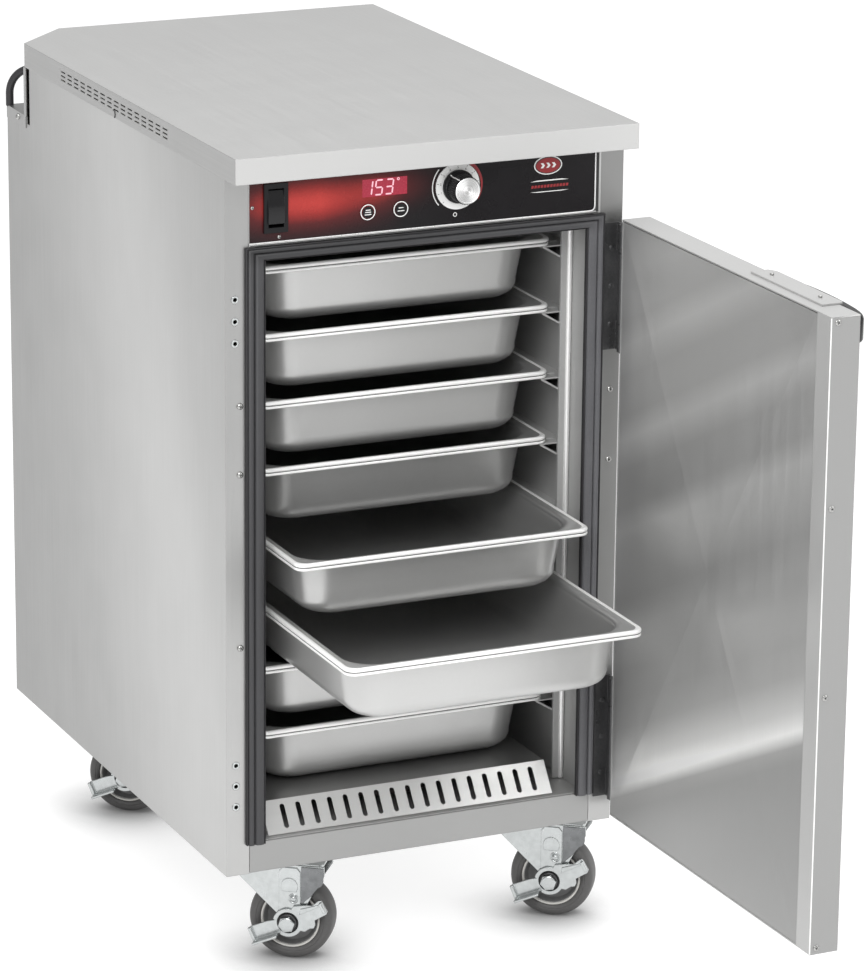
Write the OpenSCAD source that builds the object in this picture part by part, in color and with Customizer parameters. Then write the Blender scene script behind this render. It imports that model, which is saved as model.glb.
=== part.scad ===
// Heated food holding cabinet on four swivel casters, with a side-hinged door and eight pans.
// Millimetres. +Z up, +X to the right seen from the front, and the front faces -Y.
// Shapes are drawn from the middle of the body's front bottom edge, then placed by cab().

/* [Cabinet] */
// Outside width of the body
body_w = 434; // [430:1:445]
// Depth of the body behind its front face
body_d = 631; // [625:1:660]
// Height of the body without its casters
body_h = 753; // [750:1:765]
// Height of the casters under the body
caster_h = 120; // [116:1:126]
// Thickness of the outer sheet
sheet = 1.5; // [1.2:0.1:1.8]
// How far the top stands out in front of the body
nose_out = 31; // [24:1:36]
// Height of the top's turned-down edge
nose_h = 26; // [22:1:28]
// Leg of the cut rear corner
corner_leg = 61; // [50:1:64]
// Height of the cut corner's pocket below the top
pocket_h = 79; // [74:1:84]

/* [Door] */
// Angle at which the door stands open
door_open = 91; // [88:1:95]
// Width of the door
door_w = 421; // [418:1:423]
// Height of the door
door_h = 640; // [636:1:642]
// Thickness of the door
door_t = 31; // [30:1:34]

/* [Pans] */
// Width across a pan's rim
pan_w = 324; // [322:1:326]
// Length of a pan's rim
pan_l = 527; // [520:1:530]
// Depth of a pan
pan_depth = 65; // [60:1:66]
// Height from one pan to the next
pan_pitch = 70; // [69:1:71]
// How far the pan in the fifth row is pulled out
pan_5_out = 125; // [110:1:128]
// How far the pan in the sixth row is pulled out
pan_6_out = 250; // [225:1:250]

/* [Casters] */
// Radius of the wheels over the tyre
wheel_r = 44.5; // [42:0.5:46]
// Width of the tyre
tyre_w = 33; // [28:1:34]
// Distance from the swivel's axis back to the wheel's axis
trail = 37; // [34:1:38]
// Angle the casters are turned away from the front
caster_turn = 36; // [0:1:45]

/* [Hidden] */
$fn = 48;

// Colours
steel = [0.74, 0.74, 0.73];
bright = [0.84, 0.84, 0.84];
zinc = [0.80, 0.81, 0.80];
dark = [0.10, 0.10, 0.11];
rubber = [0.28, 0.28, 0.30];

// The middle of the open cabinet's footprint, from the middle of the body's front bottom edge
rest_mid = [19.8, 94.36];

hw = body_w / 2;              // half width of the body
skirt_t = 1.2;                // thickness of the top's skirt and of the liner
stile_w = 25;                 // width of the front stiles
sill_h = 33;                  // height of the sill under the door opening
base_t = 2;                   // thickness of the base
chamber_hw = hw - 33;         // half width of the heated chamber
chamber_y1 = body_d - 31;     // back of the chamber
panel_z = body_h - nose_h - 70;   // lower edge of the control panel
nose_z = body_h - nose_h;     // underside of the top's nose
gap = 0.05;                   // running clearance of turning pieces

// Chamber furniture
rack_y = [50, body_d - 71];   // front and back of the pan racks
ledge_in = pan_w / 2 - 9;     // inner edge of the ledges
rim_h = 8;                    // height of a pan's rolled rim
rim_out = 12;                 // width of a pan's rim
pan_t = 0.9;                  // thickness of a pan's sheet
pan_corner = 14;              // outer corner radius of the rim
pan_home = [47, 47, 47, 47, 70, 70, 47, 47];   // front edge of each pushed-in pan behind the body's face
cover_x = [-168, 153];        // ends of the heater cover
cover_foot = [8, sill_h + skirt_t];   // front foot of the cover, y and z
cover_top = [30, 64];         // front top edge of the cover, y and z

// Controls, x and z of their centres
rocker_at = [-164, 694];
display_at = [-46.8, 704.5];
display_size = [48.5, 18];
button_at = [[-65.3, 680.6], [-29.7, 680.6]];
button_r = 5.6;
dial_at = [32.1, 698.6];
dial_r = 23.8;
knob_r = 14.5;
knob_out = 24;

// Door, drawn shut
hinge = [hw - 5, -14];        // the hinge axis, x and y
door_y = -8;                  // the door's inner face
door_x = hw - 13;             // the door's hinged edge
door_z = 13;                  // the door's lower edge
hinge_z = [579, 94];          // middle heights of the two hinges
hinge_h = 133;                // length of a hinge
knuckle_r = 5;
pin_r = 2.2;
strip_w = 27;                 // inner flange along the door's free edge

// Casters
caster_at = [[-150, 77], [150, 77], [-152, body_d - 87], [152, body_d - 87]];
axle_z = wheel_r - caster_h;  // the wheels' axis, below the body
axle_r = 4.75;
hub_r = 31;
leg_in = tyre_w / 2 + 2.5;    // inner face of a fork leg from the wheel's middle
leg_t = 3;
sleeve_r = 9.2;               // sleeve that a brake lever turns on

function pan_z(i) = 132 + pan_pitch * (8 - i);   // top of a pan's rim, row 1 at the top
function pan_y(i) = pan_home[i - 1] - (i == 5 ? pan_5_out : i == 6 ? pan_6_out : 0);

// ---------- placing ----------
module cab() translate([-rest_mid.x, -rest_mid.y, caster_h]) children();
module on_door() cab() translate(hinge) rotate(door_open) translate(-hinge) children();
module on_caster(i)
    cab() translate(caster_at[i]) rotate(-caster_turn) children();
// A piece lying in the wheel's plane: its z runs along the axle, towards the brake
module on_axle(i, from = 0)
    on_caster(i) translate([trail, 0, axle_z]) rotate([90, 0, 0]) translate([0, 0, from]) children();
// A flat outline in the front plane, from y0 forwards by out
module front_slab(y0, out) translate([0, y0, 0]) rotate([90, 0, 0]) linear_extrude(out) children();
// An outline in y and z, drawn out along x from x0 for w
module side_slab(x0, w) translate([x0, 0, 0]) rotate([90, 0, 90]) linear_extrude(w) children();

// ---------- shapes ----------
module box(x, y, z) translate([x[0], y[0], z[0]]) cube([x[1] - x[0], y[1] - y[0], z[1] - z[0]]);
module round_rect(w, l, r) {
    square([w - 2 * r, l], center = true);
    square([w, l - 2 * r], center = true);
    for (sx = [-1, 1], sy = [-1, 1]) translate([sx * (w / 2 - r), sy * (l / 2 - r)]) circle(r);
}
module slot(len, wid) {
    square([wid, len - wid], center = true);
    for (s = [-1, 1]) translate([0, s * (len - wid) / 2]) circle(d = wid, $fn = 24);
}
// A round-headed screw: its head stands out of the y = 0 plane
module pan_screw(r, out) rotate([90, 0, 0]) {
    cylinder(h = out * 0.5, r = r, $fn = 32);
    translate([0, 0, out * 0.5]) cylinder(h = out * 0.5, r = r * 0.7, $fn = 32);
}
// The top's outline, drawn in by inset
function top_outline(inset) =
    let (w = hw + skirt_t - inset, b = body_d + skirt_t - inset,
         c = corner_leg + skirt_t - inset * 0.586)
    [[-w, -nose_out + inset], [w, -nose_out + inset], [w, b], [-w + c, b], [-w, b - c]];

// ---------- body ----------
module vent_slots() {
    for (row = [0:2], col = [0:15])
        translate([-hw - 5, 149 + col * 19.6, body_h - 9.3 - row * 4.4])
            cube([10, 14, 1.6]);
}
module top_cover() color(steel) cab() difference() {
    union() {
        translate([0, 0, body_h - sheet]) linear_extrude(sheet) polygon(top_outline(0));
        translate([0, 0, nose_z]) linear_extrude(nose_h - sheet) difference() {
            polygon(top_outline(0));
            polygon(top_outline(skirt_t));
        }
        box([-hw, hw], [-nose_out + skirt_t, -0.1], [nose_z, nose_z + sheet]);
    }
    vent_slots();
}

// Side skin with its folded front stile; the inner edge of the stile turns back
module side_skin() {
    box([-hw, -hw + sheet], [0, body_d], [0, nose_z + 4]);
    box([-hw + sheet, -hw + stile_w], [0, sheet], [0, nose_z]);
    box([-hw + stile_w - sheet, -hw + stile_w], [sheet, 20], [base_t, nose_z]);
    box([-hw + sheet, -hw + 14], [body_d - 2 * sheet, body_d - sheet], [2, body_h - pocket_h - 4]);
}
insert_r = 3.9;
insert_z = [[604.7, 582.4, 560.1], [118.9, 96.6, 74.3]];
insert_x = -hw + 10.5;
module insert_row(r, y, len)
    for (rows = insert_z, z = rows) translate([insert_x, y, z]) rotate([90, 0, 0]) cylinder(h = len, r = r);
module side_left() color(steel) cab() difference() {
    side_skin();
    // the pocket at the rear top corner, and the relief slot in front of it
    box([-hw - 1, 0], [body_d - corner_leg - 2.3, body_d + 1], [body_h - pocket_h - sheet, body_h]);
    box([-hw - 1, -hw + 5], [body_d - corner_leg - 11, body_d - corner_leg - 2],
        [body_h - pocket_h - 9, nose_z]);
    insert_row(insert_r, sheet + 1, sheet + 2);
}
module side_right() color(steel) cab() mirror([1, 0, 0]) side_skin();
module rear_panel() color(steel) cab() difference() {
    box([-hw + sheet, hw - sheet], [body_d - sheet, body_d], [0, nose_z + 4]);
    box([-hw, -hw + corner_leg + 2.5], [0, body_d + 1], [body_h - pocket_h - sheet, body_h]);
}
module base_pan() color(steel) cab() {
    box([-hw + sheet, hw - sheet], [sheet + 0.5, body_d - 2 * sheet - 0.5], [0, base_t]);
    for (y = [[30, 31.5], [body_d - 40, body_d - 38.5]])
        box([-hw + 16, hw - 16], y, [base_t, 13]);
}
module front_sill() color(bright) cab() {
    w = hw - stile_w - 0.5;
    box([-w, w], [0, sheet], [1, sill_h]);
    box([-w, w], [sheet, 28], [sill_h - sheet, sill_h]);
}

// ---------- controls ----------
module control_openings() {
    translate(rocker_at) square([20, 42], center = true);
    translate(display_at) square(display_size, center = true);
    for (b = button_at) translate(b) circle(button_r + gap);
    translate(dial_at) circle(6, $fn = 32);
}
module control_panel() color(steel) cab() {
    front_slab(sheet, sheet) difference() {
        translate([-hw + stile_w, panel_z]) square([body_w - 2 * stile_w, 70]);
        control_openings();
    }
    box([-hw + stile_w, hw - stile_w], [sheet, 34], [panel_z, panel_z + sheet]);
    // raised frame at the right end and along the bottom of the overlay
    box([-hw + stile_w, hw - stile_w - 1], [-2, 0], [panel_z, panel_z + 2.5]);
    box([hw - stile_w - 5, hw - stile_w - 1], [-2, 0], [panel_z + 2.5, nose_z - 2]);
}
module overlay() color(dark) cab() {
    front_slab(0, 0.8) difference() {
        translate([-hw + stile_w + 1, panel_z + 3]) square([body_w - 2 * stile_w - 8, 66]);
        control_openings();
    }
    for (b = button_at) translate([b.x, -0.8, b.y]) rotate([90, 0, 0]) difference() {
        cylinder(h = 1, r = 8.2);
        translate([0, 0, -1]) cylinder(h = 3, r = button_r + gap);
    }
}
// Box behind the panel that carries the wiring, open at the front
module control_tray() color(steel) cab() difference() {
    box([-hw + stile_w + 8, hw - stile_w - 8], [36, 220], [panel_z + 1, nose_z - 4]);
    box([-hw + stile_w + 9.5, hw - stile_w - 9.5], [30, 218.5], [panel_z + 2.5, nose_z + 5]);
}
module rocker_bezel() color(dark) cab() translate([rocker_at.x, 0, rocker_at.y]) difference() {
    union() {
        box([-12.7, 12.7], [-3.6, -0.8], [-24.8, 24.8]);
        box([-9.9, 9.9], [-0.8, 18], [-20.9, 20.9]);
    }
    box([-8.3, 8.3], [-5, 14], [-19.5, 19.5]);
    translate([0, rocker_in, 0]) rocker_pin(20, gap);
}
// The rocker turns on a pin across the switch and rests pressed in at its top
rocker_rest = 7;
rocker_in = 6;                // depth of the pin behind the body's face
module rocker_pin(len, extra = 0) translate([-len / 2, 0, 0]) rotate([0, 90, 0]) cylinder(h = len, r = 1.4 + extra);
module rocker() color([0.06, 0.06, 0.07]) cab() translate([rocker_at.x, rocker_in, rocker_at.y]) {
    translate([-8, 0, 0]) rotate([0, 90, 0]) rotate(-rocker_rest) linear_extrude(16)
        polygon([[-17, -9.5], [0, -12], [17, -9.5], [16, -1], [4, 3], [-4, 3], [-16, -1]]);
    rocker_pin(18.6);
}
module display_lens() color([0.75, 0.10, 0.22]) cab() {
    translate([display_at.x, 0, display_at.y])
        box([-display_size.x / 2, display_size.x / 2], [-0.6, 2], [-display_size.y / 2, display_size.y / 2]);
    translate([display_at.x, 0, display_at.y]) box([-32, 32], [2, 16], [-13, 13]);
}
module push_button(i) color(dark) cab() translate([button_at[i].x, 0, button_at[i].y]) rotate([90, 0, 0]) {
    translate([0, 0, -6]) cylinder(h = 8.2, r = button_r);
    translate([0, 0, -8]) cylinder(h = 2, r = button_r + 1.5);
}
module button_left() push_button(0);
module button_right() push_button(1);
module dial_plate() color("white") cab() translate([dial_at.x, -0.8, dial_at.y]) rotate([90, 0, 0])
    difference() {
        cylinder(h = 1.2, r = dial_r, $fn = 96);
        translate([0, 0, -1]) cylinder(h = 4, r = 6, $fn = 32);
    }
module dial_knob() color([0.78, 0.78, 0.77]) cab() translate([dial_at.x, -2.6, dial_at.y]) rotate([90, 0, 0])
    difference() {
        union() {
            cylinder(h = 5, r = knob_r + 2.5, $fn = 64);
            translate([0, 0, 5]) cylinder(h = knob_out - 6, r = knob_r, $fn = 64);
            translate([0, 0, knob_out - 1]) cylinder(h = 1, r1 = knob_r, r2 = knob_r - 1, $fn = 64);
        }
        translate([0, 0, -1]) cylinder(h = 15, r = 3 + gap, $fn = 32);
    }
module thermostat() color("silver") cab() translate([dial_at.x, 0, dial_at.y]) rotate([90, 0, 0]) {
    translate([0, 0, -8]) cylinder(h = 22, r = 3, $fn = 32);
    translate([0, 0, -30]) cylinder(h = 22, r = 17);
}

// ---------- chamber ----------
module liner() color([0.66, 0.66, 0.66]) cab() {
    c = chamber_hw;
    z = [sill_h, panel_z];
    difference() {
        box([-c - skirt_t, c + skirt_t], [skirt_t, chamber_y1], z);
        box([-c, c], [0, chamber_y1 - skirt_t], [z[0] + skirt_t, z[1] - skirt_t]);
    }
    for (m = [0, 1]) mirror([m, 0, 0]) box([c, hw - stile_w], [0, skirt_t], [z[0], z[1]]);
}
module insulation() color([0.90, 0.82, 0.45]) cab() {
    s = hw - sheet - 0.5;
    i = chamber_hw + skirt_t + 0.5;
    top = panel_z - 2;
    for (m = [0, 1]) mirror([m, 0, 0]) box([i, s], [24, body_d - 34], [34, top]);
    box([-s, s], [chamber_y1 + 1, body_d - 2 * sheet - 1], [34, top]);
    box([-s + 12, s - 12], [34, body_d - 44], [14, sill_h - 2]);
    box([-i, i], [226, body_d - 70], [panel_z + 1, nose_z - 10]);
}
// A rack: back plate, eight ledges and a turned-in strip with a round edge at the front
module rack() {
    c = chamber_hw;
    z = [sill_h + skirt_t + 1, panel_z - 8];
    box([c - sheet, c], rack_y, z);
    box([c - 12, c], [rack_y[0] - 4, rack_y[0]], z);
    translate([c - 2.6, rack_y[0] - 4, z[0]]) cylinder(h = z[1] - z[0], r = 2.5, $fn = 24);
    for (i = [1:8]) {
        z = pan_z(i) - rim_h - 0.4;
        translate([0, rack_y[1], 0]) rotate([90, 0, 0]) linear_extrude(rack_y[1] - rack_y[0])
            polygon([[c - sheet, z], [ledge_in, z], [ledge_in, z - 2], [c - sheet, z - 20],
                     [c - sheet, z - 18], [ledge_in + 4, z - 2], [ledge_in + 3, z - sheet], [c - sheet, z - sheet]]);
    }
}
module pan_racks() color([0.70, 0.70, 0.70]) cab() for (m = [0, 1]) mirror([m, 0, 0]) rack();
// Sheet cover with a sloping front that is pierced by a row of upright slots
slot_n = 17;
slot_pitch = 17.56;
module heater_cover() color(bright) cab() {
    t = sheet;
    rise = cover_top[1] - cover_foot[1];
    run = cover_top[0] - cover_foot[0];
    len = norm([rise, run]);
    tilt = atan2(run, rise);
    w = cover_x[1] - cover_x[0];
    translate([cover_x[0], cover_foot[0], cover_foot[1]]) rotate([90 - tilt, 0, 0]) linear_extrude(t)
        difference() {
            square([w, len]);
            for (i = [0:slot_n - 1])
                translate([w / 2 + 2 + (i - (slot_n - 1) / 2) * slot_pitch, len / 2]) slot(26, 5.4);
        }
    box([cover_x[0], cover_x[1]], [cover_top[0] - 0.8, 540], [cover_top[1] - t, cover_top[1]]);
    box([cover_x[0], cover_x[1]], [540 - t, 540], [cover_foot[1], cover_top[1] - t]);
    for (x = [cover_x[0], cover_x[1] - t]) side_slab(x, t)
        polygon([[cover_foot[0] + 1, cover_foot[1]], [540, cover_foot[1]], [540, cover_top[1] - 0.5],
                 [cover_top[0] + 0.6, cover_top[1] - 0.5]]);
}
// Tubular heater bent into a long U
module heating_element() color([0.35, 0.33, 0.32]) cab() translate([-8, 0, 47]) {
    for (s = [-1, 1]) translate([s * 90, 140, 0]) rotate([-90, 0, 0]) cylinder(h = 340, r = 4);
    translate([0, 140, 0]) rotate([0, 0, 180]) rotate_extrude(angle = 180) translate([90, 0]) circle(4, $fn = 32);
}
module door_gasket() color(rubber) cab() {
    x = [hw - 41.5, hw - 20.8];
    for (m = [0, 1]) mirror([m, 0, 0]) {
        box(x, [-5, 0], [sill_h - 1, panel_z - 1]);
        box([x[0] + 5, x[1] - 5], [-7, -5], [sill_h - 1, panel_z - 1]);
    }
    box([-x[0], x[0]], [-5, 0], [panel_z - 15, panel_z - 1]);
    box([-x[0], x[0]], [-7, -5], [panel_z - 11, panel_z - 5]);
}
module body_screws() color(bright) cab() {
    for (z = [495.6, 425, 243.6]) translate([-hw + 15.5, 0, z]) pan_screw(3.4, 2.6);
    for (z = [470, 395]) translate([hw - 10, 0, z]) pan_screw(3.2, 2);
    for (p = [[-188.3, 695.7], [-173.9, 722.2], [-160, 664.2], [-65.8, 721.4]])
        translate([p.x, -0.8, p.y]) pan_screw(1.9, 1.2);
    // screws of the rear corner pocket
    for (z = [719, 694])
        translate([-hw + 6, body_d - corner_leg + 6, z]) rotate([0, 0, 225]) pan_screw(3.6, 4.6);
    translate([-hw - 1, body_d - 38, body_h - pocket_h - 6]) rotate([0, 0, -90]) pan_screw(3.4, 2.4);
}
module hinge_inserts() color(zinc) cab() difference() {
    insert_row(insert_r, 6, 6.6);
    insert_row(2.1, 7, 9);
}

// ---------- rear corner ----------
cord_r = 4.3;
cord_bend = 30;                // bend radius of the cord
cord_out = 10;                 // straight length of cord before the bend
cord_hole = [-hw, body_d] + [1, -1] * (corner_leg / 2 - (cord_out + cord_bend) * cos(45));
module corner_pocket() color(steel) cab() {
    z0 = body_h - pocket_h;
    a = corner_leg;
    // upright cut face under the top
    translate([0, 0, z0]) linear_extrude(nose_z - z0)
        polygon([[-hw, body_d - a], [-hw + a, body_d], [-hw + a + 2.1, body_d], [-hw, body_d - a - 2.1]]);
    // level ledge with a flange down the side
    difference() {
        translate([0, 0, z0 - sheet]) linear_extrude(sheet)
            polygon([[-hw - 1, body_d - a], [-hw - 1, body_d - 1], [-hw + a, body_d - 1]]);
        translate([cord_hole[0], cord_hole[1], z0 - 5]) cylinder(h = 10, r = cord_r + 0.7);
    }
    box([-hw - 1, -hw], [body_d - a, body_d - 1], [z0 - 14, z0 - sheet]);
    // upright lip along the front edge of the cut face
    box([-hw - 1, -hw + 0.6], [body_d - a - 2, body_d - a + 4.5], [z0 - sheet, nose_z - 0.5]);
}
// Cord leaving the cut face through a bushing and bending down into a notch in the ledge's corner
module power_cord() color(dark) cab()
    translate([-hw + corner_leg / 2, body_d - corner_leg / 2, 0]) rotate([0, 0, 135]) {
        z = body_h - pocket_h + 12;
        rotate([0, 90, 0]) translate([-z - cord_bend, 0, 0.1]) {
            cylinder(h = 5, r = 8);
            translate([0, 0, 5]) cylinder(h = cord_out - 5.1, r = cord_r);
        }
        translate([cord_out, 0, z]) rotate([90, 0, 0]) rotate_extrude(angle = 90)
            translate([cord_bend, 0]) circle(cord_r, $fn = 32);
        translate([cord_out + cord_bend, 0, z - 13]) cylinder(h = 13, r = cord_r);
    }

// ---------- door, drawn shut ----------
module door_box(inset, y, z = [0, 0])
    box([door_x - door_w + inset, door_x - inset], y, [door_z + inset + z[0], door_z + door_h - inset + z[1]]);
module door_shell() color(steel) on_door() {
    difference() {
        door_box(0, [door_y - door_t, door_y]);
        door_box(sheet, [door_y - door_t + sheet, door_y + 1]);
    }
    // inner flange along the free edge
    box([door_x - door_w + sheet, door_x - door_w + strip_w], [door_y - sheet, door_y],
        [door_z + sheet, door_z + door_h - sheet]);
}
// Inner skin, cross-broken so that its middle stands proud of its edges
skin_x = [door_x - door_w + strip_w, door_x - sheet];
skin_z = [door_z + sheet + 0.2, door_z + door_h - sheet - 1];
module door_skin() color([0.62, 0.62, 0.61]) on_door() {
    y0 = door_y - 0.3;
    mid = [(skin_x[0] + skin_x[1]) / 2, y0 + 1.2, (skin_z[0] + skin_z[1]) / 2];
    rim = [[skin_x[0], skin_z[0]], [skin_x[1], skin_z[0]], [skin_x[1], skin_z[1]], [skin_x[0], skin_z[1]]];
    polyhedron(
        points = [for (p = rim) [p.x, y0 - 1.4, p.y], for (p = rim) [p.x, y0, p.y], mid],
        faces = [[3, 2, 1, 0], for (i = [0:3]) [i, (i + 1) % 4, 4 + (i + 1) % 4, 4 + i],
                 for (i = [0:3]) [4 + i, 4 + (i + 1) % 4, 8]]);
}
module door_core() color([0.90, 0.82, 0.45]) on_door()
    box([door_x - door_w + 4, door_x - 4], [door_y - door_t + sheet + 0.5, door_y - 5.2],
        [door_z + 12, door_z + door_h - 6]);
module door_fasteners() color(bright) on_door() {
    for (z = [6, 188, 377, 634]) translate([door_x - door_w, door_y - 7, door_z + door_h + 0.5 - z])
        rotate([0, 0, -90]) pan_screw(3.2, 1.4);
    for (u = [265, 358]) translate([door_x - u, door_y - door_t + 8, door_z + door_h + 2])
        rotate([-90, 0, 0]) pan_screw(3.6, 2.6);
}
// Plate screwed to the door's top edge, standing out over the grip
module hood_plate() color(steel) on_door() translate([0, 0, door_z + door_h]) linear_extrude(2)
    let (y = door_y - door_t, a = door_x - 244, b = door_x - 382)
    polygon([[a, y + 19], [a, y], [a - 9, y - 5], [b + 4, y - 5], [b, y - 3], [b, y + 19]]);
// Arched pull: its back is hollow for the fingers
module door_grip() color(dark) on_door() {
    x = door_x - 330;
    y = door_y - door_t;
    z = [door_z + door_h - 36, door_z + door_h - 10];
    translate([0, 0, z[0]]) linear_extrude(z[1] - z[0]) difference() {
        polygon([for (s = [0:24]) let (a = s * 7.5) [x + 84 * cos(a), y - 17 * pow(sin(a), 0.6)]]);
        polygon([for (s = [0:24]) let (a = s * 7.5) [x + 64 * cos(a), y - 9 * pow(sin(a), 0.6)]]);
    }
}

// ---------- hinges ----------
module knuckle(z0, z1, r, bore) translate([hinge.x, hinge.y, z0]) difference() {
    cylinder(h = z1 - z0, r = r);
    translate([0, 0, -1]) cylinder(h = z1 - z0 + 2, r = bore);
}
// Leaf on the stile with its two outer knuckles and the pin
module leaf_stile() color(dark) cab() for (zc = hinge_z) {
    z0 = zc - hinge_h / 2;
    z1 = zc + hinge_h / 2;
    box([hw - 20.4, hw - 3], [-1.6, 0], [z0, z1]);
    for (z = [[z0, z0 + 29.5], [z1 - 29.5, z1]]) {
        knuckle(z[0], z[1], knuckle_r, pin_r);
        box([hinge.x - 1, hinge.x + 1], [hinge.y + knuckle_r - 0.2, -1.6], z);
    }
    translate([hinge.x, hinge.y, z0 - 2]) cylinder(h = hinge_h + 4, r = pin_r);
    for (dz = [-40, 0, 40]) translate([hw - 12, -1.6, zc + dz]) pan_screw(2.8, 1.2);
}
// Leaf on the door's hinged edge with the middle knuckle
module leaf_door() color(dark) on_door() for (zc = hinge_z) {
    z0 = zc - hinge_h / 2;
    z1 = zc + hinge_h / 2;
    box([door_x, door_x + 1.8], [door_y - 28, hinge.y + 1], [z0, z1]);
    knuckle(z0 + 30, z1 - 30, knuckle_r, pin_r + gap);
    box([door_x + 1.8, hinge.x - knuckle_r + 0.3], [hinge.y - 1, hinge.y + 1], [z0 + 30, z1 - 30]);
}

// ---------- casters ----------
plate_size = [64, 92];
module caster_mounts() color(zinc) for (i = [0:3]) cab() translate(caster_at[i]) {
    translate([0, 0, -4]) linear_extrude(4) difference() {
        round_rect(plate_size.x, plate_size.y, 8);
        for (sx = [-1, 1], sy = [-1, 1]) translate([sx * 23, sy * 37]) circle(4, $fn = 24);
    }
    translate([0, 0, -10]) cylinder(h = 6, r = 26);
    translate([0, 0, -21]) cylinder(h = 11, r = 6);
    translate([0, 0, -24]) cylinder(h = 3, r = 9);
    for (sx = [-1, 1], sy = [-1, 1]) translate([sx * 23, sy * 37, 0]) {
        translate([0, 0, -8.5]) difference() {
            cylinder(h = 4.5, r = 7, $fn = 6);
            translate([0, 0, -1]) cylinder(h = 7, r = 4, $fn = 24);
        }
    }
}
// One fork leg seen from its side: x back from the swivel's axis, y up from the axle
module leg_outline(h) {
    polygon([[-30 - trail, h - 12], [38, h - 12], [38, h - 20], [30, h - 38], [9, -6], [-9, 4]]);
    circle(11);
}
// Fork with its crown, two legs and the axle bolt; the near leg carries the brake's strap
module fork(i) color(zinc) {
    h = -axle_z;
    on_caster(i) difference() {
        union() {
            translate([0, 0, -14]) cylinder(h = 3.5, r = 30);
            box([0, trail + 36], [-leg_in, leg_in], [-14, -11]);
        }
        translate([0, 0, -20]) cylinder(h = 12, r = 6 + gap);
    }
    for (s = [0, 1]) on_axle(i, s == 0 ? leg_in : -leg_in - leg_t) linear_extrude(leg_t) difference() {
        leg_outline(h);
        circle(axle_r + gap);
    }
    on_axle(i, leg_in + leg_t) linear_extrude(1.6) difference() {
        translate([-10, 13]) square([22, h - 36]);
        translate([4, 26]) circle(3, $fn = 24);
    }
    // axle bolt, the sleeve of the brake lever and the hexagon head, then the nut
    on_axle(i, -leg_in - leg_t - 7) cylinder(h = 2 * (leg_in + leg_t) + 14, r = axle_r);
    on_axle(i, leg_in + leg_t + 0.1) difference() {
        union() {
            cylinder(h = 5, r = sleeve_r);
            translate([0, 0, 5]) cylinder(h = 7, r = 8.2, $fn = 6);
        }
        translate([0, 0, -1]) cylinder(h = 15, r = axle_r);
    }
    on_axle(i, -leg_in - leg_t - 6.6) difference() {
        cylinder(h = 6.5, r = 8.2, $fn = 6);
        translate([0, 0, -1]) cylinder(h = 9, r = axle_r);
    }
}
// Hub with a bright lip, a web and a bearing boss
module wheel(i) color(dark) on_axle(i) rotate_extrude() polygon([
    [axle_r + gap, -16], [12, -16], [12, -7], [26, -5], [26, -14], [hub_r, -14],
    [hub_r, 14], [26, 14], [26, 5], [12, 7], [12, 16], [axle_r + gap, 16]]);
module tyre(i) color(rubber) on_axle(i) let (w = tyre_w / 2) rotate_extrude() polygon([
    [hub_r, -w + 3], [hub_r + 2, -w], [wheel_r - 4, -w], [wheel_r - 1, -w + 2.5], [wheel_r, -w + 7],
    [wheel_r, w - 7], [wheel_r - 1, w - 2.5], [wheel_r - 4, w], [hub_r + 2, w], [hub_r, w - 3]]);
// Brake lever: a round cam plate with a rising wing and a foot pedal
module brake(i) color(bright) on_axle(i, leg_in + leg_t + 1.7) {
    linear_extrude(2.6) difference() {
        union() {
            circle(14.5);
            rotate(28) translate([0, -8]) square([38, 16]);
            rotate(28) translate([10, -12]) square([15, 10]);
            rotate(203) translate([0, -7]) square([20, 14]);
        }
        circle(sleeve_r + gap);
    }
    rotate(203) translate([18, -9, 0]) cube([24, 18, 2.6]);
    rotate(203) translate([18, 6.4, 0]) cube([24, 2.6, 13]);
    rotate(28) translate([35, -8, 0]) cube([3, 16, 7]);
}
module fork_fl() fork(0);
module fork_fr() fork(1);
module fork_rl() fork(2);
module fork_rr() fork(3);
module wheel_fl() wheel(0);
module wheel_fr() wheel(1);
module wheel_rl() wheel(2);
module wheel_rr() wheel(3);
module tyre_fl() tyre(0);
module tyre_fr() tyre(1);
module tyre_rl() tyre(2);
module tyre_rr() tyre(3);
module brake_fl() brake(0);
module brake_fr() brake(1);
module brake_rl() brake(2);
module brake_rr() brake(3);

// ---------- pans ----------
// Rounded, tapering body of a pan: half sizes and heights of its three levels, drawn in by t
module pan_body(t) {
    w = pan_w / 2 - rim_out + 1.2 - t;
    l = pan_l / 2 - rim_out + 1.2 - t;
    levels = [[0, 0, 40], [7, -pan_depth + 16, 36], [20, -pan_depth, 26]];
    hull() for (v = levels, sx = [-1, 1], sy = [-1, 1])
        translate([sx * (w - v[0] - v[2]), sy * (l - v[0] - v[2]), v[1] + (t > 0 ? (v[1] == 0 ? 1 : t) : 0)])
            cylinder(h = 0.4, r = v[2], $fn = 32);
}
module pan(i) color([0.80, 0.80, 0.79]) cab() translate([0, pan_y(i) + pan_l / 2, pan_z(i)]) {
    difference() {
        translate([0, 0, -pan_t]) pan_body(0);
        pan_body(pan_t);
    }
    translate([0, 0, -pan_t]) linear_extrude(pan_t) difference() {
        round_rect(pan_w, pan_l, pan_corner);
        round_rect(pan_w - 2 * rim_out + 1, pan_l - 2 * rim_out + 1, 39);
    }
    translate([0, 0, -rim_h]) linear_extrude(rim_h - pan_t) difference() {
        round_rect(pan_w, pan_l, pan_corner);
        round_rect(pan_w - 4, pan_l - 4, pan_corner - 2);
    }
}
module pan_1() pan(1);
module pan_2() pan(2);
module pan_3() pan(3);
module pan_4() pan(4);
module pan_5() pan(5);
module pan_6() pan(6);
module pan_7() pan(7);
module pan_8() pan(8);

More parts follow.
